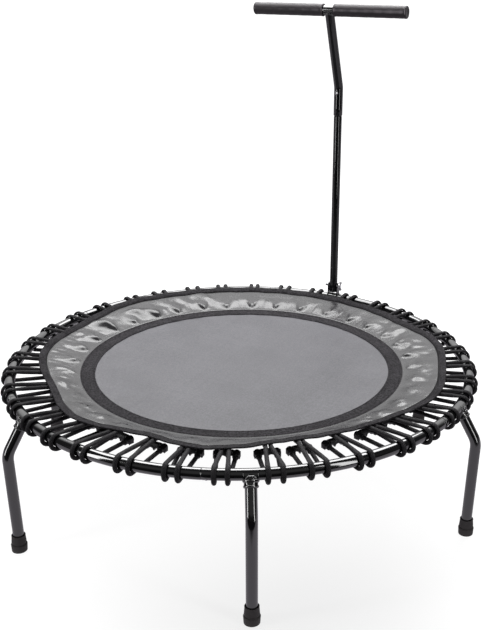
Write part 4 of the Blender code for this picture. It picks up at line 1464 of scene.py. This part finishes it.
def bar_weld():
    """The bead between the stem and the bar, and the swell of the stem's end."""
    shape = Shape()
    along = unit(BAR_CENTRE - STEM_BEND[-1])
    across = np.cross(along, AXIS_X)
    swell_r = STEM_R + 0.0002
    shape.join(rod(BAR_CENTRE - along * 0.0170, BAR_CENTRE - along * 0.002,
                   (STEM_R - 0.0004, swell_r), 40))
    shape.join(rod((-0.0125, BAR_Y, BAR_Z), (0.0125, BAR_Y, BAR_Z), swell_r, 40))
    for k in range(30):
        angle = 2 * math.pi * k / 30
        x, y = STEM_R * math.cos(angle), STEM_R * math.sin(angle)
        reach = max(math.sqrt(max(0.0, swell_r ** 2 - y * y)), 0.0035)
        bead = BAR_CENTRE + AXIS_X * x * 1.02 + across * y * 1.02 - along * reach
        shape.join(ball(bead, 0.0016, 8))
    return fuse(shape, 0.0006, 2)


make("handle_lower_tube", post(), POST_PAINT, "handle", "handle_post")
make("t_handle_stem", stem(), POST_PAINT, "handle", "t_handle")
make("t_bar", bar(), PAINT, "handle", "t_handle")
make("t_bar_weld", bar_weld(), PAINT, "handle", "t_handle", 60.0)

GRIP_R, GRIP_INNER, GRIP_OUTER = 0.0142, 0.0134, 0.1929
GRIP_BORE = 0.01128


def grip(phase):
    """A foam sleeve with rolled ends, closed over the bar's end: radius, distance out."""
    profile = [(0.0, GRIP_OUTER - 0.0038), (GRIP_BORE, GRIP_OUTER - 0.0039),
               (GRIP_BORE, GRIP_INNER + 0.0010), (0.0118, GRIP_INNER + 0.0001),
               (0.0134, GRIP_INNER), (0.01425, GRIP_INNER + 0.0006),
               (0.0146, GRIP_INNER + 0.0016), (0.0143, GRIP_INNER + 0.0030)]
    profile += [(GRIP_R - 0.0001 + 0.00012 * math.sin(x * 210 + phase)
                 + 0.00008 * math.sin(x * 517 + phase * 2), x)
                for x in np.linspace(GRIP_INNER + 0.005, GRIP_OUTER - 0.007, 36)]
    profile += [(GRIP_R, GRIP_OUTER - 0.0052), (GRIP_R + 0.0004, GRIP_OUTER - 0.0036),
                (GRIP_R + 0.0003, GRIP_OUTER - 0.0020)]
    profile += [(GRIP_R - 0.0020 + 0.0022 * math.cos(a * math.pi / 2),
                 GRIP_OUTER - 0.0018 + 0.0018 * math.sin(a * math.pi / 2))
                for a in np.linspace(0.2, 1.0, 5)]
    profile += [(0.0085, GRIP_OUTER - 0.0001), (0.0075, GRIP_OUTER - 0.0007),
                (0.0, GRIP_OUTER - 0.0009)]
    return lathe(profile, 56)


for name, side, phase in (("left", -1.0, 0.0), ("right", 1.0, 1.7)):
    out = BAR_DIR * side
    shape = grip(phase).placed(BAR_CENTRE, AXIS_Y, np.cross(out, AXIS_Y), out)
    make("foam_grip_" + name, shape, FOAM, "handle", "grip_" + name, 50.0)


def button_dome():
    """The snap button, with its dome towards -Y."""
    radius = 0.0034
    profile = [(0.0, 0.0040), (0.0046, 0.0040), (0.0046, 0.0052), (radius, 0.0053),
               (radius, 0.0112)]
    profile += [(radius * math.cos(a * math.pi / 2), 0.0112 + 0.0018 * math.sin(a * math.pi / 2))
                for a in np.linspace(0, 1, 8)[1:-1]]
    profile.append((0.0, 0.0130))
    return lathe(profile, 36).placed((0, RING_R, BUTTON_Z), AXIS_X, AXIS_Z, -AXIS_Y)


def button_rim():
    """A thin ring round the button's hole, bent to the stem."""
    profile = ((0.0037, -0.0004), (0.0048, -0.0004), (0.0049, 0.0001), (0.0046, 0.00035),
               (0.0040, 0.00035), (0.0037, 0.0001))
    points = np.array([[(r * math.cos(a), r * math.sin(a), z) for a in circle(36)]
                       for r, z in profile])
    points[..., 2] += np.sqrt(np.maximum(STEM_R ** 2 - points[..., 0] ** 2, 0)) - STEM_R
    faces, uvs = strip(len(profile), 36, wrap_rows=True)
    rim = Shape().add(points, [faces], [uvs])
    return rim.placed((0, RING_R - STEM_R, BUTTON_Z), AXIS_X, AXIS_Z, -AXIS_Y)


make("button_dome", button_dome(), STEEL, "button", "snap_button", 50.0)
make("button_hole_rim", button_rim(), PAINT, "handle", angle=60.0)

# ---------------------------------------------------------------- wing bolt, along X
# Upper half of the wings' outline: x, z.
WING = (
    (-0.0006, 0.0028), (0.0016, 0.0052), (0.0019, 0.0088), (0.0015, 0.0112), (0.0028, 0.0124),
    (0.0058, 0.0126), (0.0080, 0.0116), (0.0086, 0.0094), (0.0078, 0.0062), (0.0060, 0.0030),
)
THREAD_PITCH, THREAD_DEPTH = 0.0010, 0.00026


def bolt_thread(r, z, angle):
    """Cuts the thread near the bolt's tip."""
    fade = smoothstep(-z, 0.0150, 0.0158) * (1 - smoothstep(-z, 0.0214, 0.0222))
    tooth = np.abs(((z / THREAD_PITCH - angle / (2 * np.pi)) % 1.0) - 0.5) * 2 - 0.5
    return r + THREAD_DEPTH * fade * tooth * 2


def bolt_shank():
    heights = (*np.linspace(-0.0219, -0.0150, 46), -0.0140, 0.0, 0.0145)
    profile = [(0.0, -0.0222), (0.0025, -0.0222)] + [(0.0030, z) for z in heights]
    profile.append((0.0, 0.0145))
    shape = lathe(profile, 32, wave=bolt_thread)
    return shape.placed((0, RING_R, PIVOT_Z), AXIS_Y, AXIS_Z, AXIS_X)


def bolt_wings():
    hub = rod((0.0142, RING_R, PIVOT_Z), (0.0203, RING_R, PIVOT_Z), (0.0062, 0.0050), 36, 0.0008)
    outline = list(WING[::-1]) + [(x, -z) for x, z in WING]
    wings = plate(outline, 0.0026, 0.0010, 3)
    hub.join(wings.placed((0.0147, RING_R, PIVOT_Z), AXIS_X, AXIS_Z, -AXIS_Y))
    return fuse(hub, 0.00045, 3)


make("bolt_shank", bolt_shank(), STEEL, "wing_bolt", "wing_bolt", 40.0)
make("bolt_wings", bolt_wings(), STEEL, "wing_bolt", "wing_bolt", 60.0)

# ---------------------------------------------------------------- floor and world
AHEAD = (-0.4056, 0.9140, 0.0)      # level direction in which the camera looks
WHITE = (1, 1, 1, 1)


def floor_material():
    """Glowing paper to the camera, brighter further out and with a painted soft shadow round one
    spot beside the trampoline; to everything else, a glowing table.
    """
    material = bpy.data.materials.new("studio_floor")
    material.use_nodes = True
    material.node_tree.nodes.clear()
    s = Shading(material.node_tree)
    where = s.node("ShaderNodeNewGeometry").outputs["Position"]
    flat = s.vector("MULTIPLY", where, (1.0, 1.0, 0.0))
    away = s.vector("LENGTH", flat, output="Value")
    shade = s.vector("DISTANCE", flat, (0.42, -0.50, 0.0), output="Value")
    # painted shadow: the glow drops softly round the point (0.42, -0.50)
    glow = s.math("SUBTRACT", s.ramp(away, span=(0.70, 1.5), to=(0.94, 1.10)),
                  s.ramp(shade, span=(0.05, 0.60), to=(0.165, 0.0)))
    paper = s.node("ShaderNodeBsdfDiffuse", {"Color": (0.15, 0.15, 0.15, 1)})
    shine = s.node("ShaderNodeEmission", {"Color": WHITE, "Strength": glow})
    seen = s.node("ShaderNodeAddShader", {0: paper.outputs[0], 1: shine.outputs[0]})
    depth = s.vector("DOT_PRODUCT", where, AHEAD, output="Value")
    table = s.times(s.ramp(depth, span=(-0.84, -0.74), to=(0.02, 1.0)),
                    s.ramp(away, span=(1.6, 3.2), to=(1.0, 0.7)))
    bounce = s.node("ShaderNodeEmission", {"Color": (1.0, 0.955, 1.035, 1),
                                           "Strength": s.times(table, 0.70)})
    camera_ray = s.node("ShaderNodeLightPath").outputs["Is Camera Ray"]
    pick = s.node("ShaderNodeMixShader", {0: camera_ray, 1: bounce.outputs[0],
                                          2: seen.outputs[0]})
    s.node("ShaderNodeOutputMaterial", {0: pick.outputs[0]})
    return material


def build_world():
    """White to the camera; a bright wall ahead and a faint one behind it for reflections."""
    world = bpy.data.worlds.new("studio")
    scene.world = world
    world.use_nodes = True
    world.node_tree.nodes.clear()
    s = Shading(world.node_tree)
    ray = s.node("ShaderNodeTexCoord").outputs["Generated"]
    high = s.split(ray)[2]
    ahead = s.vector("DOT_PRODUCT", ray, AHEAD, output="Value")
    rise = s.times(s.ramp(high, span=(0.10, 0.58), to=(0.45, 1.15)),
                   s.ramp(high, span=(0.62, 0.88), to=(1.0, 0.45)))
    wall = s.times(s.ramp(ahead, span=(0.25, 0.70), to=(0.0, 1.5)), rise)
    behind = s.times(s.ramp(ahead, span=(-0.10, -0.60)), s.ramp(high, span=(0.15, 0.45)))
    strength = s.add(wall, s.ramp(behind, span=(0.0, 1.0), to=(0.045, 0.20)))
    studio = s.node("ShaderNodeBackground", {"Color": WHITE, "Strength": strength})
    white = s.node("ShaderNodeBackground", {"Color": WHITE, "Strength": 1.0})
    camera_ray = s.node("ShaderNodeLightPath").outputs["Is Camera Ray"]
    pick = s.node("ShaderNodeMixShader", {0: camera_ray, 1: studio.outputs[0],
                                          2: white.outputs[0]})
    s.node("ShaderNodeOutputWorld", {0: pick.outputs[0]})


FLOOR_HALF = 60
paper = floor_material()
floor_mesh = bpy.data.meshes.new("floor")
floor_mesh.from_pydata([(x * FLOOR_HALF, y * FLOOR_HALF, 0)
                        for x, y in ((-1, -1), (1, -1), (1, 1), (-1, 1))], [], [(0, 1, 2, 3)])
floor = bpy.data.objects.new("floor", floor_mesh)
floor_mesh.materials.append(paper)
scene.collection.objects.link(floor)
build_world()


# ---------------------------------------------------------------- lights
def softbox(name, place, size, power, target=None, turn=0.0):
    """A rectangular light aimed at target, or straight down and turned by degrees."""
    data = bpy.data.lights.new(name, "AREA")
    data.shape = "RECTANGLE"
    data.size, data.size_y = size
    data.energy = power
    obj = bpy.data.objects.new(name, data)
    obj.location = place
    if target is None:
        obj.rotation_euler = (0, 0, math.radians(turn))
    else:
        aim = Vector(target) - Vector(place)
        obj.rotation_euler = aim.to_track_quat("-Z", "Y").to_euler()
    obj.visible_camera = False
    scene.collection.objects.link(obj)


softbox("overhead", place=(-0.466, 1.051, 2.1), size=(2.4, 1.8), power=125.0, turn=23.93)
softbox("strip_left", place=(-1.35, -1.95, 0.95), size=(0.42, 1.9), power=26.0,
        target=(0, -0.2, 0.5))
softbox("strip_right", place=(1.62, -0.62, 0.95), size=(0.28, 1.9), power=12.0,
        target=(0, -0.1, 0.5))

# ---------------------------------------------------------------- camera
CAMERA_SWING = 28.62                # round the Z axis from -Y
CAMERA_DISTANCE, CAMERA_Z = 2.0705, 1.1701
CAMERA_TURN = math.radians(4.6904)  # to the right of the axis
CAMERA_PITCH = math.radians(19.96)  # downward
CAMERA_ROLL = math.radians(1.2247)


def camera_matrix():
    level = math.cos(CAMERA_PITCH)
    forward = np.array((math.sin(CAMERA_TURN) * level, math.cos(CAMERA_TURN) * level,
                        -math.sin(CAMERA_PITCH)))
    right = unit(np.cross(forward, AXIS_Z))
    upward = np.cross(right, forward)
    c, s = math.cos(CAMERA_ROLL), math.sin(CAMERA_ROLL)
    right, upward = right * c + upward * s, -right * s + upward * c
    columns = [turn_z(v, CAMERA_SWING) for v in (right, upward, -forward)]
    columns.append(polar(CAMERA_DISTANCE, 270.0 + CAMERA_SWING, CAMERA_Z))
    matrix = np.eye(4)
    matrix[:3] = np.stack(columns, 1)
    return Matrix(matrix.tolist())


camera_data = bpy.data.cameras.new("camera")
camera = bpy.data.objects.new("camera", camera_data)
scene.collection.objects.link(camera)
scene.camera = camera
camera_data.sensor_width = 36.0
camera_data.lens = 57.97
camera_data.shift_x = -0.1128
camera_data.shift_y = -0.01213
camera_data.clip_end = 300.0
camera.matrix_world = camera_matrix()
scene.view_settings.view_transform = "Standard"
scene.view_settings.look = "None"
